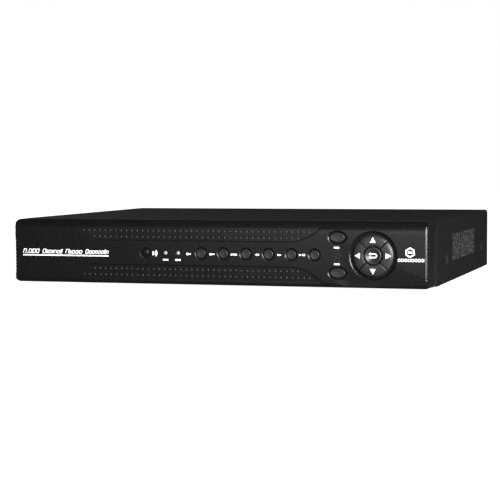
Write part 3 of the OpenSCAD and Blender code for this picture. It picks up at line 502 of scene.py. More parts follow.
OPENINGS = [(centre(n)[0], KEY_Z, 3.5, 3.5, KEY_DISH, 48) for n in ROUND_KEYS]
OPENINGS += [(centre(n)[0], centre(n)[2], 5.4, 3.4, OVAL_DISH, 56) for n in OVAL_KEYS]
OPENINGS += [(PAD[0], PAD[2], 14.1, 14.1, PAD_DISH, 120)]
OPENINGS += [(centre("ir_window")[0], KEY_Z, 2.72, 2.72, WINDOW_DISH, 40)]
OPENINGS += [(x, KEY_Z, r + 0.02, r + 0.02, LENS_DISH, 24) for x, r in LENSES]

# dotted bands: the outline's firm edge, above the key row (the lower band mirrors it)
BAND_EDGE = np.array(
    [(-90, 8.1), (-70, 8.1), (-45, 8.1), (-20, 8.1), (5, 8.1), (30, 8.1), (52, 8.1), (55.5, 8.2),
     (58.5, 8.5), (61.5, 9.2), (64.5, 10.2), (67.2, 11.5), (69.8, 13.0), (72.2, 14.6), (74.4, 16.3),
     (76.6, 18.2), (78.4, 20.0)]
)
BAND_SOFT = (np.array([-105.8, 18.6]), np.array([-92.8, 8.1]))
DOT_ROWS = [(-95.6, 42, 15.4), (-87.6, 38, 11.1)]
DOT_PITCH = 4.0
DOT_CUP = [(0.0, 0.42), (0.25, 0.38), (0.8, 0.06), (0.95, 0.0)]

DOTS = np.array(
    [
        (start + i * DOT_PITCH, KEY_Z + side * up)
        for start, count, up in DOT_ROWS
        for i in range(count)
        for side in (-1, 1)
    ]
)


def edge_distance(x, h):
    """Distance inside the band from its firm edge, negative outside."""
    best = np.full(x.shape, 1e9)
    sign = np.ones(x.shape)
    p = np.stack([x, h], -1)
    for a, b in zip(BAND_EDGE[:-1], BAND_EDGE[1:]):
        ab = b - a
        t = np.clip(((p - a) @ ab) / (ab @ ab), 0, 1)
        off = p - (a + t[..., None] * ab)
        dist = np.linalg.norm(off, axis=-1)
        side = np.sign(ab[0] * (p[..., 1] - a[1]) - ab[1] * (p[..., 0] - a[0]))
        nearer = dist < best - 1e-9
        best = np.where(nearer, dist, best)
        sign = np.where(nearer, side, sign)
    return best * sign


def soft_distance(x, h):
    """Distance to the right of the band's soft left end."""
    a, b = BAND_SOFT
    way = (b - a) / np.linalg.norm(b - a)
    return way[0] * (h - a[1]) - way[1] * (x - a[0])


def band(x, z):
    h = np.abs(z - KEY_Z)
    firm = smooth(edge_distance(x, h) / BAND_WALL)
    end = soft_distance(x, h)
    return BAND_DEPTH * firm * (0.36 * smooth(end / 0.9) + 0.64 * smooth((end - 0.5) / 14))


def outward(x, z, cx, cz, a, b):
    """How far a point lies outside an ellipse, along matching ellipses."""
    dx, dz = np.abs(x - cx), np.abs(z - cz)
    if a == b:
        return np.hypot(dx, dz) - a
    low, high = np.full(x.shape, -b * 0.98), np.full(x.shape, 400.0)
    for _ in range(40):
        mid = (low + high) / 2
        outside = (dx / (a + mid)) ** 2 + (dz / (b + mid)) ** 2 > 1
        low = np.where(outside, mid, low)
        high = np.where(outside, high, mid)
    return (low + high) / 2


def facet(x, z):
    """The face below the direction pad leans back a little along a slanting crease."""
    run = (CREASE_Z - z) - (x - CREASE_X) * CREASE_TILT
    t = np.clip((run + CREASE_SOFT) / (2 * CREASE_SOFT), 0, 1)
    ramp = np.where(run > CREASE_SOFT, run, CREASE_SOFT * t * t)
    return CREASE_SLOPE * ramp * smooth((x - CREASE_FROM) / 12)


def face_depth(x, z):
    """Depth of the fascia's front surface at x, z."""
    x, z = np.asarray(x, float), np.asarray(z, float)
    crown = CROWN * np.clip(np.abs(z - CROWN_Z) / CROWN_HALF, 0, 1.1) ** 3
    face = FACE + crown + band(x, z) + facet(x, z)
    top = FACE + (z - (HIGH - TOP_CUT + 0.3)) * TOP_SLOPE
    low = FACE + (LOW_CUT - z) * LOW_SLOPE
    depth = soft_max(soft_max(face, top, TOP_SOFT), low, 0.3)
    end = np.where(x > 0, along(RIGHT_END, x), along(LEFT_END, -x))
    between = smooth((z - 4.2) / 0.8) * smooth((40.0 - z) / 0.8)
    depth = np.where(end > 0, soft_max(depth, FACE + end, 0.3), depth) + along(LIP, x) * between
    for cx, cz, a, b, dish, _ in OPENINGS:
        near = (np.abs(x - cx) < a + 3) & (np.abs(z - cz) < b + 3)
        if near.any():
            e = outward(x[near], z[near], cx, cz, a, b)
            add = np.zeros(x.shape)
            add[near] = along(dish, e)
            depth = depth + add
    cx = DOT_ROWS[0][0] + np.round((x - DOT_ROWS[0][0]) / DOT_PITCH) * DOT_PITCH
    for start, count, up in DOT_ROWS:
        inside = (cx > start - 0.1) & (cx < start + (count - 1) * DOT_PITCH + 0.1)
        r = np.hypot(x - cx, np.abs(z - KEY_Z) - up)
        depth = depth + np.where(inside, along(DOT_CUP, r), 0)
    return depth


def face_position(q):
    return np.column_stack([q[:, 0], face_depth(q[:, 0], q[:, 1]), q[:, 1]])


def outline(half, low, high, radius, xs=100, zs=15, arc=7):
    """Rounded rectangle whose points match one to one between sizes."""
    right, left, bottom, top = half - radius, -half + radius, low + radius, high - radius
    corners = [(right, bottom, -90), (right, top, 0), (left, top, 90), (left, bottom, 180)]
    counts = [xs, zs, xs, zs]
    points = []
    for k, (cx, cz, start) in enumerate(corners):
        for i in range(arc + 1):
            a = math.radians(start + 90 * i / arc)
            points.append((cx + radius * math.cos(a), cz + radius * math.sin(a)))
        nx, nz, ns = corners[(k + 1) % 4]
        end = (nx + radius * math.cos(math.radians(ns)), nz + radius * math.sin(math.radians(ns)))
        here = points[-1]
        steps = counts[(k + 1) % 4]
        for i in range(1, steps):
            f = i / steps
            points.append((here[0] + (end[0] - here[0]) * f, here[1] + (end[1] - here[1]) * f))
    return np.array(points)


def build_fascia():
    plan = Drawing()
    rim = outline(RIM, RIM_IN - SKIRT, HIGH - RIM_IN, CORNER)
    plan.line(rim)
    hole_rows = []
    for cx, cz, a, b, dish, n in OPENINGS:
        hole_rows.append(plan.line(ellipse(cx, cz, a, b, n)))
        for k, (out, _) in enumerate(dish[1:]):
            plan.line(ellipse(cx, cz, a + out, b + out, n, math.pi / n * ((k + 1) % 2)))
    for x, z in DOTS:
        for r, _ in DOT_CUP[1:]:
            plan.line(ellipse(x, z, r, r, 10, 0.3 * r))
    fine = []
    for a, b in zip(BAND_EDGE[:-1], BAND_EDGE[1:]):
        steps = max(1, int(np.linalg.norm(b - a) / 1.6))
        fine += [a + (b - a) * i / steps for i in range(steps)]
    fine.append(BAND_EDGE[-1])
    fine = np.array(fine)
    tangent = np.gradient(fine, axis=0)
    tangent /= np.linalg.norm(tangent, axis=1, keepdims=True)
    inward = np.column_stack([-tangent[:, 1], tangent[:, 0]])
    for side in (-1, 1):
        for off in np.linspace(0, BAND_WALL, 4):
            row = fine + inward * off
            plan.line(np.column_stack([row[:, 0], KEY_Z + side * row[:, 1]]), closed=False)
    xs = np.concatenate(
        [
            np.arange(-145.5, 145.6, 3.0),
            np.array([at for at, _ in [*LIP, *RIGHT_END[1:-1]]]),
            -np.array([147.0, 148.0, *[at for at, _ in LEFT_END[:-1]]]),
        ]
    )
    # closer rows at the bevels along the bottom and the top
    zs = np.concatenate(
        [[-0.3, 0.6, 1.5, 2.2, 2.45, 2.75, 3.1], [4.2, 4.6, 5.0], np.arange(7.0, 37.1, 2.5),
         [37.9, 38.6, 39.3, 40.0, 40.7, 41.4, 42.1, 42.8]]
    )
    grid = np.array([(x, z) for x in xs for z in zs])
    past_x = np.abs(grid[:, 0]) - (RIM - CORNER)
    past_z = np.abs(grid[:, 1] - (HIGH - SKIRT) / 2) - ((HIGH + SKIRT) / 2 - RIM_IN - CORNER)
    grid = grid[np.hypot(np.maximum(past_x, 0), np.maximum(past_z, 0)) < CORNER - 0.2]
    hollow = np.zeros(len(grid), bool)
    for cx, cz, a, b, _, _ in OPENINGS:
        hollow |= ((grid[:, 0] - cx) / a) ** 2 + ((grid[:, 1] - cz) / b) ** 2 < 1
    plan.scatter(grid[~hollow], 0.16)

    def in_face(c):
        solid = np.ones(len(c), bool)
        for cx, cz, a, b, _, n in OPENINGS:
            shrink = math.cos(math.pi / n) ** 2
            e = ((c[:, 0] - cx) / a) ** 2 + ((c[:, 1] - cz) / b) ** 2
            solid &= e > shrink * 0.999
        return solid

    flat, front, loops = plan.triangles(in_face)
    points = list(face_position(flat))
    faces = [tuple(f) for f in front]
    rim_row = loops[0]

    def add_row(plane, depths):
        first = len(points)
        for (x, z), d in zip(plane, np.broadcast_to(depths, len(plane))):
            points.append((x, d, z))
        return list(range(first, first + len(plane)))

    rim_depth = np.array([points[i][1] for i in rim_row])
    run_out = np.where(rim[:, 0] > HALF - 1, RIGHT_ROUND, LEFT_ROUND)
    full = outline(HALF, -SKIRT, HIGH, CORNER)
    rows = [rim_row]
    # share of the rounding's depth reached at 30 percent of the way out
    early = 0.15 + 0.15 * (run_out > 1)
    rows.append(add_row(full * 0.3 + rim * 0.7, rim_depth + run_out * early))
    rows.append(add_row(full, np.minimum(rim_depth + run_out, -0.6)))
    wide = outline(HALF + SWELL, -SKIRT, HIGH, CORNER - 0.4)
    rows.append(add_row(wide, np.maximum(SWELL_AT, np.minimum(rim_depth + 3.2, -1.0))))
    rows.append(add_row(outline(HALF, -SKIRT, HIGH, 2.2), BACK))
    rows.append(add_row(outline(HALF - WALL, WALL, HIGH - WALL, 1.0), BACK))
    inner = outline(*INSIDE, 0.8)
    rows.append(add_row(inner, WALL_IN))
    for a, b in zip(rows[:-1], rows[1:]):
        faces += bridge(a, b)

    back = Drawing()
    back.line(inner)
    for cx, cz, a, b, _, n in OPENINGS:
        back.line(ellipse(cx, cz, a, b, n))
    sheet, behind, back_loops = back.triangles(in_face)
    first = len(points)
    points += [(x, WALL_IN, z) for x, z in sheet]
    faces += [tuple(int(i) + first for i in f) for f in behind]
    rename = {first + i: j for i, j in zip(back_loops[0], rows[-1])}
    for k, row in enumerate(hole_rows):
        faces += bridge(loops[row], [first + i for i in back_loops[1 + k]])
    faces = [tuple(rename.get(i, i) for i in f) for f in faces]
    obj = add_piece(
        "fascia", points, faces, "fascia_plastic", replaces=["front_panel"], sharp=32
    )
    middle = flat[front].mean(1)
    # dish walls and band edges take the darker, duller finish: painted shade in the recesses
    painted_shade_groove = np.zeros(len(front), bool)
    for cx, cz, a, b, dish, _ in OPENINGS:
        if dish is not LENS_DISH:
            painted_shade_groove |= outward(middle[:, 0], middle[:, 1], cx, cz, a, b) < dish[2][0]
    edge = edge_distance(middle[:, 0], np.abs(middle[:, 1] - KEY_Z))
    painted_shade_groove |= (edge > 0) & (edge < BAND_WALL * 0.8) & (middle[:, 0] > BAND_EDGE[0][0])
    # the dimple faces take the lighter finish, a painted highlight
    dotted = np.zeros(len(front), bool)
    for x, z in DOTS:
        dotted |= np.hypot(middle[:, 0] - x, middle[:, 1] - z) < DOT_CUP[-1][0] * 0.97
    paint_faces(obj, np.where(dotted, 2, painted_shade_groove), fascia_recess_painted_shade, dot_painted_highlight)
    apply_normals(obj, [(0, front, 0, flat, face_position)])


build_fascia()


# ---------------------------------------------------------------- keys, window and lenses


def ring_solid(rings, n, cx, cz):
    """A closed solid from rings (half-axis a, half-axis b, depth), front to back, capped."""
    points, faces, rows = [], [], []
    for a, b, d in rings:
        first = len(points)
        if a < 1e-6:
            points.append((cx, d, cz))
            rows.append([first])
        else:
            points += [(x, d, z) for x, z in ellipse(cx, cz, a, b, n)]
            rows.append(list(range(first, first + n)))
    for p, q in zip(rows[:-1], rows[1:]):
        if len(p) == 1:
            faces += [(p[0], q[i], q[(i + 1) % n]) for i in range(n)]
        elif len(q) == 1:
            faces += [(p[i], p[(i + 1) % n], q[0]) for i in range(n)]
        else:
            faces += bridge(p, q)
    return points, faces


def round_rings(rings):
    """Rings (radius, depth) as ring_solid takes them."""
    return [(r, r, d) for r, d in rings]


# plungers, and the flanges that hold the keys in behind the wall
PLUNGER, FLANGE, FLANGE_GAP = 1.5, 1.2, 0.2
KEY_FLANGE = WALL_IN + FLANGE_GAP
KEY_TOP = FACE - 0.1
# front of a round or oval key: its dish by share of the half-axes, then its rim by inset
KEY_HOLLOW = [(0.2, 0.195), (0.4, 0.17), (0.58, 0.12), (0.7, 0.06), (0.78, 0.02)]
KEY_RIM = [(0.5, 0.0), (0.4, -0.01), (0.28, 0.03), (0.17, 0.12), (0.08, 0.25), (0.02, 0.42)]


def add_cap(node, solid, sharp):
    """A key's visible piece, which moves with the key's body."""
    add_piece(
        node + "_cap", *solid, "key_plastic", body=node, replaces=[node], sharp=sharp
    )


def add_key(node, a, b, n):
    """A push key: shallow dish, rounded rim, skirt, flange and plunger."""
    x, _, z = centre(node)
    back = case_box(node)[1][1]
    rings = [(0, 0, KEY_TOP + 0.2)]
    rings += [(a * f, b * f, KEY_TOP + d) for f, d in KEY_HOLLOW]
    rings += [(a - inset, b - inset, KEY_TOP + d) for inset, d in KEY_RIM]
    rings += [(a, b, KEY_TOP + 0.6), (a, b, KEY_FLANGE)]
    rings += [(a + FLANGE, b + FLANGE, d) for d in (KEY_FLANGE, KEY_FLANGE + FLANGE)]
    rings += [(PLUNGER, PLUNGER, d) for d in (KEY_FLANGE + FLANGE, back)]
    rings += [(0, 0, back)]
    add_cap(node, ring_solid(rings, n, x, z), 38)


for name in ROUND_KEYS:
    add_key(name, 3.2, 3.2, 48)
for name in OVAL_KEYS:
    add_key(name, 5.1, 3.1, 56)

# front of the direction keys and the enter key: (distance from the pad's centre, depth)
PAD_TOP = FACE - 0.8
SECTOR = [(6.6, 0.5), (6.66, 0.22), (6.85, 0.06), (7.2, 0.0), (8.5, 0.0), (10.0, 0.03),
          (11.2, 0.12), (12.2, 0.28), (13.0, 0.5), (13.45, 0.75), (13.7, 1.05), (13.8, 1.45)]
SECTOR_FLANGE = 15.3
STEM_AT = 10.4
# slots between the direction keys, and their softened edges: (distance in, drop)
HALF_SLOT = 0.25
SLOT_EDGE = [(0.0, 0.34), (0.06, 0.16), (0.18, 0.05), (0.36, 0.0)]
ENTER_TOP = FACE - 1.1
ENTER = [(0, 1.7), (1.2, 1.58), (2.4, 1.2), (3.4, 0.75), (4.2, 0.35), (4.8, 0.08), (5.15, 0.0),
         (5.4, 0.03), (5.65, 0.16), (5.82, 0.38), (5.9, 0.7)]
ENTER_OUT, ENTER_FLANGE = 5.9, 7.5


def sector_depth(x, z):
    return PAD_TOP + along(SECTOR, np.hypot(x - PAD[0], z - PAD[2]))


def enter_depth(x, z):
    return ENTER_TOP + along(ENTER, np.hypot(x - PAD[0], z - PAD[2]))


def build_sector(name, turn):
    """One quarter of the direction pad, with softened edges beside the slots."""
    back = case_box(name)[1][1]
    inner, outer = SECTOR[0][0], SECTOR[-1][0]
    profile = [(r, PAD_TOP + d) for r, d in SECTOR]
    profile += [(outer, KEY_FLANGE), (SECTOR_FLANGE, KEY_FLANGE)]
    profile += [(SECTOR_FLANGE, KEY_FLANGE + FLANGE), (inner, KEY_FLANGE + FLANGE)]
    steps = 20
    points = []

    def station(share, inset, drop):
        """The profile at a share of the way from the middle to a slot's edge."""
        first = len(points)
        for k, (r, d) in enumerate(profile):
            limit = math.pi / 4 - math.asin((HALF_SLOT + inset) / r)
            a = math.radians(turn) + share * limit
            fall = drop if k < len(SECTOR) else 0
            points.append((PAD[0] + r * math.cos(a), d + fall, PAD[2] + r * math.sin(a)))
        return list(range(first, len(points)))

    rows = [station(-1, *edge) for edge in SLOT_EDGE]
    rows += [station(-1 + 2 * i / steps, *SLOT_EDGE[-1]) for i in range(1, steps)]
    rows += [station(1, *edge) for edge in reversed(SLOT_EDGE)]
    faces = []
    for p, q in zip(rows[:-1], rows[1:]):
        faces += bridge(p, q)
    faces += [tuple(rows[0]), tuple(reversed(rows[-1]))]
    stem_x = PAD[0] + STEM_AT * math.cos(math.radians(turn))
    stem_z = PAD[2] + STEM_AT * math.sin(math.radians(turn))
    stem = [(0, KEY_FLANGE + FLANGE / 2), (PLUNGER, KEY_FLANGE + FLANGE / 2)]
    stem += [(PLUNGER, back), (0, back)]
    more, stem_faces = ring_solid(round_rings(stem), 24, stem_x, stem_z)
    faces += [tuple(i + len(points) for i in f) for f in stem_faces]
    points += more
    add_cap(name, (points, faces), 50)


for name, turn in PAD_KEYS.items():
    build_sector(name, turn)


def build_enter_key():
    back = case_box("enter_key")[1][1]
    # its flange lies behind the direction keys' flanges, clear of their travel
    flange = KEY_FLANGE + FLANGE + 0.6 + FLANGE_GAP
    rings = [(r, ENTER_TOP + d) for r, d in ENTER]
    rings += [(ENTER_OUT, flange), (ENTER_FLANGE, flange), (ENTER_FLANGE, back), (0, back)]
    add_cap("enter_key", ring_solid(round_rings(rings), 72, PAD[0], PAD[2]), 50)


build_enter_key()

# fronts of the infrared window and the status lenses: (radius, depth)
WINDOW = [(0, 0.28), (0.9, 0.3), (1.7, 0.36), (2.3, 0.46), (2.6, 0.58), (2.7, 0.75)]
WINDOW_OUT, WINDOW_FLANGE = 2.7, 3.7
LENS = [(0, -0.62), (0.35, -0.58), (0.7, -0.46), (1.0, -0.27), (1.2, -0.05), (1.3, 0.2)]
LENS_OUT, LENS_FLANGE = 1.3, 2.1


def flanged_rings(front, out, flange, back):
    rings = [(r, FACE + d) for r, d in front]
    rings += [(out, WALL_IN), (flange, WALL_IN), (flange, back), (0, back)]
    return round_rings(rings)


def build_window():
    x, _, z = centre("ir_window")
    back = case_box("ir_window")[1][1]
    solid = ring_solid(flanged_rings(WINDOW, WINDOW_OUT, WINDOW_FLANGE, back), 40, x, z)
    add_piece("infrared_window", *solid, "window_plastic", replaces=["ir_window"], sharp=50)


def build_lenses():
    points, faces = [], []
    back = case_box("indicator_lenses")[1][1]
    for x, _ in LENSES:
        more, extra = ring_solid(flanged_rings(LENS, LENS_OUT, LENS_FLANGE, back), 28, x, KEY_Z)
        faces += [tuple(i + len(points) for i in f) for f in extra]
        points += more
    add_piece(
        "status_lenses", points, faces, "lens_plastic", replaces=["indicator_lenses"], sharp=50
    )


build_window()
build_lenses()


# ---------------------------------------------------------------- printed marks


def inside(outlines, q):
    """Even-odd test of points against closed outlines."""
    result = np.zeros(len(q), bool)
    for line in outlines:
        p = np.asarray(line, float)
        for (x1, z1), (x2, z2) in zip(p, np.roll(p, -1, 0)):
            if z1 == z2:
                continue
            crosses = (z1 > q[:, 1]) != (z2 > q[:, 1])
            result ^= crosses & (q[:, 0] < x1 + (q[:, 1] - z1) * (x2 - x1) / (z2 - z1))
    return result


def refine(line, step=1.2):
    """Splits an outline's long sides so that it can follow a curved face."""
    made = []
    for p, q in zip(line, [*line[1:], line[0]]):
        p, q = np.asarray(p, float), np.asarray(q, float)
        n = max(1, int(np.linalg.norm(q - p) / step))
        made += [tuple(p + (q - p) * i / n) for i in range(n)]
    return made


def add_print(name, outlines, surface=face_depth, body="case", proud=0.05, sunk=0.06):
    """A thin closed layer of ink on a face."""
    outlines = [refine(o) for o in outlines]
    plan = Drawing()
    for o in outlines:
        plan.line(o)
    flat, faces, loops = plan.triangles(lambda c: inside(outlines, c))
    n = len(flat)
    depth = surface(flat[:, 0], flat[:, 1])
    points = [(x, d - proud, z) for (x, z), d in zip(flat, depth)]
    points += [(x, d + sunk, z) for (x, z), d in zip(flat, depth)]
    solid = [tuple(f) for f in faces] + [(a + n, c + n, b + n) for a, b, c in faces]
    for loop in loops:
        solid += bridge(loop, [i + n for i in loop])
    add_piece(name, points, solid, "white_plastic", print_white, body, sharp=30)


def slab(x0, x1, z0, z1, slant=0.0):
    """A bar, its top moved sideways by slant times its height."""
    lean = slant * (z1 - z0)
    return [(x0, z0), (x1, z0), (x1 + lean, z1), (x0 + lean, z1)]


def loop_mark(x0, x1, z0, z1, stroke, slant=0.0):
    """A slanted frame with cut corners, and its opening."""

    def frame_line(inset, cut):
        a, b, c, d = x0 + inset, x1 - inset, z0 + inset, z1 - inset
        line = [(a + cut, c), (b - cut, c), (b, c + cut), (b, d - cut), (b - cut, d),
                (a + cut, d), (a, d - cut), (a, c + cut)]
        return [(x + slant * (z - z0), z) for x, z in line]

    return [frame_line(0, stroke * 0.6), frame_line(stroke, stroke * 0.25)]


# widths of the shapes in a row and of the gap between them, in shares of a low loop's width
SHAPE_SHARE = {"i": 0.42, "l": 0.42, "o": 1.0, "O": 1.12, "n": 0.95, "N": 1.1, ".": 0.42}
SHAPE_GAP = 0.2


def mark_row(kinds, x0, x1, base, cap, low, stroke, slant):
    """A row of low and tall bars (i, l), loops (o, O), hooks (n, N) and dots from x0 to x1."""
    total = sum(SHAPE_SHARE[k] for k in kinds) + SHAPE_GAP * (len(kinds) - 1)
    unit = (x1 - x0 - slant * (cap if kinds[-1].isupper() else low)) / total
    outlines, x = [], x0
    for k in kinds:
        width = SHAPE_SHARE[k] * unit
        high = base + (cap if k in "lON" else low)
        if k == ".":
            outlines.append(slab(x, x + width, base, base + stroke, slant))
        elif k in "il":
            outlines.append(slab(x, x + width, base, high, slant))
        elif k in "oO":
            outlines += loop_mark(x, x + width, base, high, stroke, slant)
        else:
            a, b = x, x + width
            line = [(a, base), (a + stroke, base), (a + stroke, high - stroke),
                    (b - stroke, high - stroke), (b - stroke, base), (b, base),
                    (b, high - stroke * 0.5), (b - stroke * 0.6, high), (a, high)]
            outlines.append([(px + slant * (pz - base), pz) for px, pz in line])
        x += width + SHAPE_GAP * unit
    return outlines


def shrink(outlines):
    """Scales small marks about the middle of their common box."""
    every = np.vstack([np.asarray(o, float) for o in outlines])
    middle = (every.min(0) + every.max(0)) / 2
    return [[tuple(middle + (np.array(p) - middle) * MARK_SHARE) for p in o] for o in outlines]


def small_row(kinds, x0, x1, base):
    return mark_row(kinds, x0, x1, base, 1.45, 1.45, 0.5, 0.0)


def wave(x, z, radius, half_width):
    """A curved stripe, as of a signal that spreads to the right."""
    turns = [math.radians(t) for t in range(-54, 55, 12)]
    outer, inner = (
        [(x + r * math.cos(t), z + r * math.sin(t)) for t in turns]
        for r in (radius + half_width, radius - half_width)
    )
    return outer + inner[::-1]


def hexagon(x, z, r):
    turns = [math.radians(60 * i + 30) for i in range(6)]
    return [(x + r * math.cos(t), z + r * math.sin(t)) for t in turns]


def arrow(turn):
    """A triangle on a direction key, pointing away from the pad's centre."""
    a = math.radians(turn)
    return [
        (PAD[0] + out * math.cos(a) - aside * math.sin(a),
         PAD[2] + out * math.sin(a) + aside * math.cos(a))
        for out, aside in ((ARROW_TIP, 0), (ARROW_BACK, ARROW_HALF), (ARROW_BACK, -ARROW_HALF))
    ]


# rows of shapes that stand for printed words: (shapes, from x, to x)
CAPTION = [("N.OOO", -143.3, -130.2), ("Oioinol", -128.3, -112.6), ("Niooo", -110.6, -97.2),
           ("Ooonooln", -95.4, -77.4)]
CAPTION_BASE, CAPTION_CAP, CAPTION_LOW, CAPTION_STROKE, SLANT = 19.45, 3.1, 2.35, 0.5, 0.28
MARK_SHARE = 0.86
# small marks beside the lights and the keys
SMALL_MARKS = {
    "receiver_mark": [slab(-45.0, -44.05, 18.9, 22.0)]
    + [wave(-43.9, 20.45, r, 0.42) for r in (1.35, 2.75)],
    "lens_mark_1": small_row("nno", -37.4, -32.8, 15.3),
    "lens_mark_2": small_row("nno", -28.3, -23.7, 15.3),
    "key_mark_1": [slab(-20.1, -18.1, 19.4, 21.15), slab(-17.9, -16.3, 19.85, 20.75)],
    "key_mark_2": [slab(-3.2, -1.2, 19.5, 21.1), slab(-1.0, 0.9, 19.9, 20.75)],
    "key_mark_3": [slab(11.9 + 1.36 * i, 13.05 + 1.36 * i, 19.65, 21.0) for i in range(4)],
    "key_mark_4": [
        [(29.3, 20.45), (31.0, 19.45), (31.0, 21.45)],
        [(31.1, 20.45), (32.6, 19.45), (32.6, 21.45)],
    ],
    "key_mark_5": [
        [(45.2, 19.5), (46.8, 20.45), (45.2, 21.4)],
        [(46.85, 19.5), (48.3, 20.45), (46.85, 21.4)],
    ],
    "key_mark_6": [
        [(60.3, 19.75), (62.2, 20.65), (60.3, 21.6)],
        slab(62.7, 63.55, 19.85, 21.6), slab(64.2, 65.05, 19.85, 21.6),
    ],
    "oval_mark_upper": small_row("nno", 84.5, 88.7, 25.2),
    "oval_mark_lower": small_row("non", 84.5, 88.7, 14.1),
}
# arrows on the direction keys, and the return sign on the enter key, from the pad's centre
ARROW_TIP, ARROW_BACK, ARROW_HALF = 12.35, 8.7, 1.95
RETURN_SIGN = [
    (-2.9, 1.15), (-1.6, 2.2), (-1.6, 1.6), (1.5, 1.6), (2.5, 1.0), (2.9, 0), (2.5, -1.0),
    (1.5, -1.6), (-2.6, -1.6), (-2.6, -0.75), (1.3, -0.75), (1.85, -0.4), (2.0, 0), (1.85, 0.4),
    (1.3, 0.75), (-1.6, 0.75), (-1.6, 0.1),
]


def add_marks():
    caption = []
    for kinds, x0, x1 in CAPTION:
        caption += mark_row(
            kinds, x0, x1, CAPTION_BASE, CAPTION_CAP, CAPTION_LOW, CAPTION_STROKE, SLANT
        )
    add_print("caption_left", caption)
    add_print("caption_line", [slab(-143.2, -77.6, 17.7, 18.6)])
    for name, outlines in SMALL_MARKS.items():
        add_print(name, shrink(outlines))
    # plain badge: a hexagon ring round a bar, over a row of small rings
    sides = [hexagon(136.3, 23.25, r) for r in (3.5, 2.45)]
    add_print("badge", [*sides, slab(134.9, 137.7, 22.6, 23.9)])
    row = []
    for i in range(8):
        row += loop_mark(128.1 + 2.26 * i, 129.85 + 2.26 * i, 17.15, 19.1, 0.42)
    add_print("badge_row", row)
    for name, turn in PAD_KEYS.items():
        add_print(name + "_arrow", [arrow(turn)], sector_depth, name)
    sign = [(PAD[0] + dx, PAD[2] + dz) for dx, dz in RETURN_SIGN]
    add_print("return_mark", [sign], enter_depth, "enter_key")


add_marks()


# ---------------------------------------------------------------- folded cover

SIDE_LOW, BEND, SHEET = -0.8, 2.0, 0.9
COVER_FROM, COVER_TO = 0.2, 222.0
SIDE_RUN = HIGH - BEND - SIDE_LOW
BEND_RUN = BEND * math.pi / 2
UNROLLED = 2 * (SIDE_RUN + BEND_RUN + HALF - BEND)
RECESSES = [(36.7, 16.3), (190.4, 16.3)]
RECESS_DIP = [(0, 1.6), (5.3, 1.6), (5.6, 1.45), (6.6, 0.14), (6.95, 0)]
RECESS_HOLE = 1.7
VENTS = [(61.0, 92.6), (95.2, 156.4)]
VENT_LOW, VENT_HIGH = 12.9, 31.6
VENT_DIP, VENT_WALL = 0.32, 0.16
# staggered rows of holes, kept clear of the vent's border
VENT_STEP, VENT_ROW, VENT_HOLE, VENT_BORDER = 5.4, 1.6, 0.8, 1.2


def cover_dip(s, v):
    """How far the sheet is pressed in, s up the side and v in depth."""
    z = SIDE_LOW + s
    dip = np.zeros(s.shape)
    for cv, cz in RECESSES:
        r = np.hypot(v - cv, z - cz)
        dip = np.maximum(dip, along(RECESS_DIP, r))
    for low, high in VENTS:
        deep = np.minimum(
            np.minimum(v - low, high - v), np.minimum(z - VENT_LOW, VENT_HIGH - z)
        )
        dip = np.maximum(dip, VENT_DIP * np.clip(deep / VENT_WALL, 0, 1))
    return dip


def cover_position(q, inset=0.0):
    """The cover's sheet: u runs up the right side, across the top and down the left."""
    u, v = q[:, 0], q[:, 1]
    s = UNROLLED / 2 - np.abs(u - UNROLLED / 2)
    t = np.clip((s - SIDE_RUN) / BEND, 0, math.pi / 2)
    inward = inset + cover_dip(s, v)
    x = HALF - BEND + (BEND - inward) * np.cos(t) - np.maximum(0, s - SIDE_RUN - BEND_RUN)
    z = SIDE_LOW + np.minimum(s, SIDE_RUN) + (BEND - inset) * np.sin(t)
    return np.column_stack([np.where(u < UNROLLED / 2, x, -x), v, z])


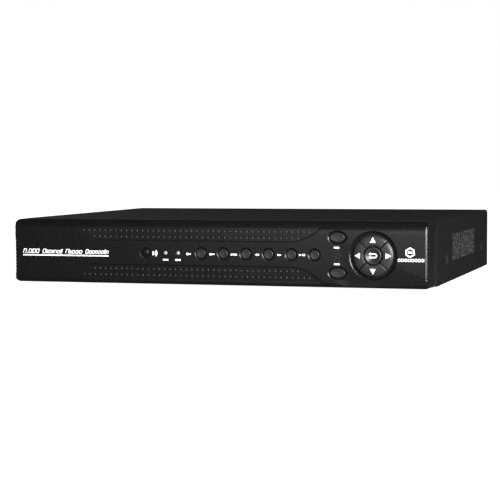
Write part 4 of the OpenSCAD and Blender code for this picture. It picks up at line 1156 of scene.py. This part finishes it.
def build_cover():
    plan = Drawing()
    folds = [SIDE_RUN + BEND_RUN * i / 6 for i in range(7)]
    marks = [0, 6, 14, 24, 34, *folds, 70, 100, 130, 160]
    us = sorted({*marks, *[UNROLLED - m for m in marks], UNROLLED / 2})
    vs = list(np.linspace(COVER_FROM, COVER_TO, 23))
    border = [(u, vs[0]) for u in us] + [(us[-1], v) for v in vs[1:]]
    border += [(u, vs[-1]) for u in reversed(us[:-1])] + [(us[0], v) for v in reversed(vs[1:-1])]
    plan.line(border)
    holes = []
    for mirror in (False, True):
        def flip(line):
            return [(UNROLLED - u, v) if mirror else (u, v) for u, v in line]
        for cv, cz in RECESSES:
            holes.append(flip(ellipse(cz - SIDE_LOW, cv, RECESS_HOLE, RECESS_HOLE, 20)))
            for r, _ in RECESS_DIP[1:]:
                plan.line(flip(ellipse(cz - SIDE_LOW, cv, r, r, 40)))
        for low, high in VENTS:
            for inset in (0, VENT_WALL):
                a, b = VENT_LOW - SIDE_LOW + inset, VENT_HIGH - SIDE_LOW - inset
                plan.line(refine(flip([(a, low + inset), (b, low + inset), (b, high - inset),
                                       (a, high - inset)]), 8))
            rows = int((VENT_HIGH - VENT_LOW - 2 * VENT_BORDER) / VENT_ROW) + 1
            first = (VENT_LOW + VENT_HIGH) / 2 - (rows - 1) * VENT_ROW / 2
            columns = int((high - low - 2 * VENT_BORDER - VENT_STEP / 2) / VENT_STEP) + 1
            start = (low + high) / 2 - ((columns - 1) + 0.5) * VENT_STEP / 2
            for i in range(rows):
                for j in range(columns):
                    cv = start + (j + 0.5 * (i % 2)) * VENT_STEP
                    cz = first + i * VENT_ROW - SIDE_LOW
                    holes.append(flip(ellipse(cz, cv, VENT_HOLE, VENT_HOLE, 8, math.pi / 8)))
    rows = [plan.line(h) for h in holes]
    for u in [*folds, *[UNROLLED - f for f in folds]]:
        plan.line([(u, v) for v in vs], closed=False)
    grid = np.array([(u, v) for u in us[1:-1] for v in vs[1:-1]])
    plan.scatter(grid, 1.2)
    holes = [np.array(h) for h in holes]
    middles = [h.mean(0) for h in holes]
    reach = [np.hypot(*(h[0] - m)) for h, m in zip(holes, middles)]

    def kept(c):
        solid = np.ones(len(c), bool)
        for m, r in zip(middles, reach):
            solid &= np.hypot(*(c - m).T) > r * 0.9
        return solid

    flat, sheet, loops = plan.triangles(kept)
    n = len(flat)
    points = np.vstack([cover_position(flat), cover_position(flat, SHEET)])
    faces = [tuple(f) for f in sheet] + [(a + n, c + n, b + n) for a, b, c in sheet]
    for row in [0, *rows]:
        faces += bridge(loops[row], [i + n for i in loops[row]])
    obj = add_piece("cover", points, faces, "case_paint", replaces=["top_cover"], sharp=38)
    middle = flat[sheet].mean(1)
    s = UNROLLED / 2 - np.abs(middle[:, 0] - UNROLLED / 2)
    # the vent patches take the lighter finish, painted light for their lit hole walls
    pressed = np.zeros(len(sheet), int)
    for low, high in VENTS:
        pressed |= (
            (middle[:, 1] > low + VENT_WALL) & (middle[:, 1] < high - VENT_WALL)
            & (s > VENT_LOW - SIDE_LOW + VENT_WALL) & (s < VENT_HIGH - SIDE_LOW - VENT_WALL)
        )
    paint_faces(obj, pressed, vent_painted_light)

    def inner_position(q):
        return cover_position(q, SHEET)

    apply_normals(
        obj,
        [(0, sheet, 0, flat, cover_position), (len(sheet), sheet, n, flat, inner_position)],
    )


build_cover()


# ---------------------------------------------------------------- the case around them

for name, node in frame["nodes"].items():
    slot = next(s["material_slot"] for s in frame["record"]["subparts"] if s["node"] == name)
    node.data.materials.clear()
    node.data.materials.append(black_screw if name == "cover_screws" else SLOT_MATERIALS[slot])


# ---------------------------------------------------------------- floor, light and camera


def stage_material(name, colour, glow, unseen):
    """A surface that glows for the camera and is plain matte for everything else."""
    made = bpy.data.materials.new(name)
    made.use_nodes = True
    tree = made.node_tree
    tree.nodes.clear()
    matte, dim = (
        add_node(tree, "ShaderNodeBsdfDiffuse", {"Color": (*grey(tone), 1)}).outputs["BSDF"]
        for tone in (colour, unseen)
    )
    light = add_node(tree, "ShaderNodeEmission", {"Strength": glow}).outputs["Emission"]
    both = add_node(tree, "ShaderNodeAddShader", {0: matte, 1: light}).outputs["Shader"]
    ray = add_node(tree, "ShaderNodeLightPath").outputs["Is Camera Ray"]
    mix = add_node(tree, "ShaderNodeMixShader", {"Fac": ray, 1: dim, 2: both})
    add_node(tree, "ShaderNodeOutputMaterial", {"Surface": mix.outputs["Shader"]})
    return made


def add_floor():
    mesh = bpy.data.meshes.new("floor")
    low, size = cad_box[0].z - 0.0002, 6.0
    corners = [(-size, -size, low), (size, -size, low), (size, size, low), (-size, size, low)]
    mesh.from_pydata(corners, [], [(0, 1, 2, 3)])
    mesh.materials.append(stage_material("pale_floor", 0.5, 0.98, 0.15))
    obj = add_object("floor", mesh)


def add_world(seen, lit):
    """White surroundings, one strength for the camera and another for the light they give."""
    made = bpy.data.worlds.new("studio")
    bpy.context.scene.world = made
    made.use_nodes = True
    tree = made.node_tree
    ray = add_node(tree, "ShaderNodeLightPath").outputs["Is Camera Ray"]
    level = add_node(tree, "ShaderNodeMapRange", {"Value": ray, "To Min": lit, "To Max": seen})
    back = tree.nodes["Background"]
    tree.links.new(level.outputs["Result"], back.inputs["Strength"])
    back.inputs["Color"].default_value = (1, 1, 1, 1)


def direction(azimuth, elevation):
    """From the object outwards, in radians: azimuth 0 is in front, a right angle to the right."""
    a, e = azimuth, elevation
    return Vector((math.sin(a) * math.cos(e), -math.cos(a) * math.cos(e), math.sin(e)))


def add_softbox(name, azimuth, elevation, distance, width, height, power):
    """A soft panel aimed at the object, its angles in degrees."""
    back = direction(math.radians(azimuth), math.radians(elevation))
    data = bpy.data.lights.new(name, "AREA")
    data.shape = "RECTANGLE"
    data.size, data.size_y = width, height
    data.energy = power
    obj = add_object(name, data)
    obj.location = back * distance + Vector((0, FRONT, 0.03))
    obj.rotation_mode = "QUATERNION"
    obj.rotation_quaternion = back.to_track_quat("Z", "Y")


# the photo's camera: angles in radians, the aim and the distances in case millimetres
AZIMUTH, ELEVATION, ROLL = 0.305004, 0.0596134, -0.0054226
AIM = (0, 111, 21.75)
DISTANCE, SHIFT_X, SHIFT_Z = 1170.63, -14.75, -6.21
FOCAL = 110.05


def add_camera():
    back = direction(AZIMUTH, ELEVATION)
    right = (-back).cross(Vector((0, 0, 1))).normalized()
    up = right.cross(-back)
    across = right * math.cos(ROLL) + up * math.sin(ROLL)
    upward = up * math.cos(ROLL) - right * math.sin(ROLL)
    data = bpy.data.cameras.new("camera")
    data.lens = FOCAL
    data.sensor_width = 36
    data.clip_start, data.clip_end = 0.01, 50
    camera = add_object("camera", data)
    place = back * DISTANCE + across * SHIFT_X + upward * SHIFT_Z
    where = Vector(world([AIM])[0]) + place * MM
    turn = Matrix((across, upward, back)).transposed()
    camera.matrix_world = Matrix.Translation(where) @ turn.to_4x4()
    bpy.context.scene.camera = camera


add_floor()
add_world(1.0, 0.05)
add_softbox("key_panel", 8, 5, 1.6, 1.5, 0.6, 5.8)
add_softbox("core_panel", 31, 12, 1.5, 0.35, 0.85, 36)
add_softbox("side_panel", 64, 9, 1.5, 0.4, 0.75, 38)
add_softbox("back_panel", 240, 16, 1.7, 1.0, 0.5, 7)
add_camera()
bpy.context.scene.view_settings.view_transform = "Standard"
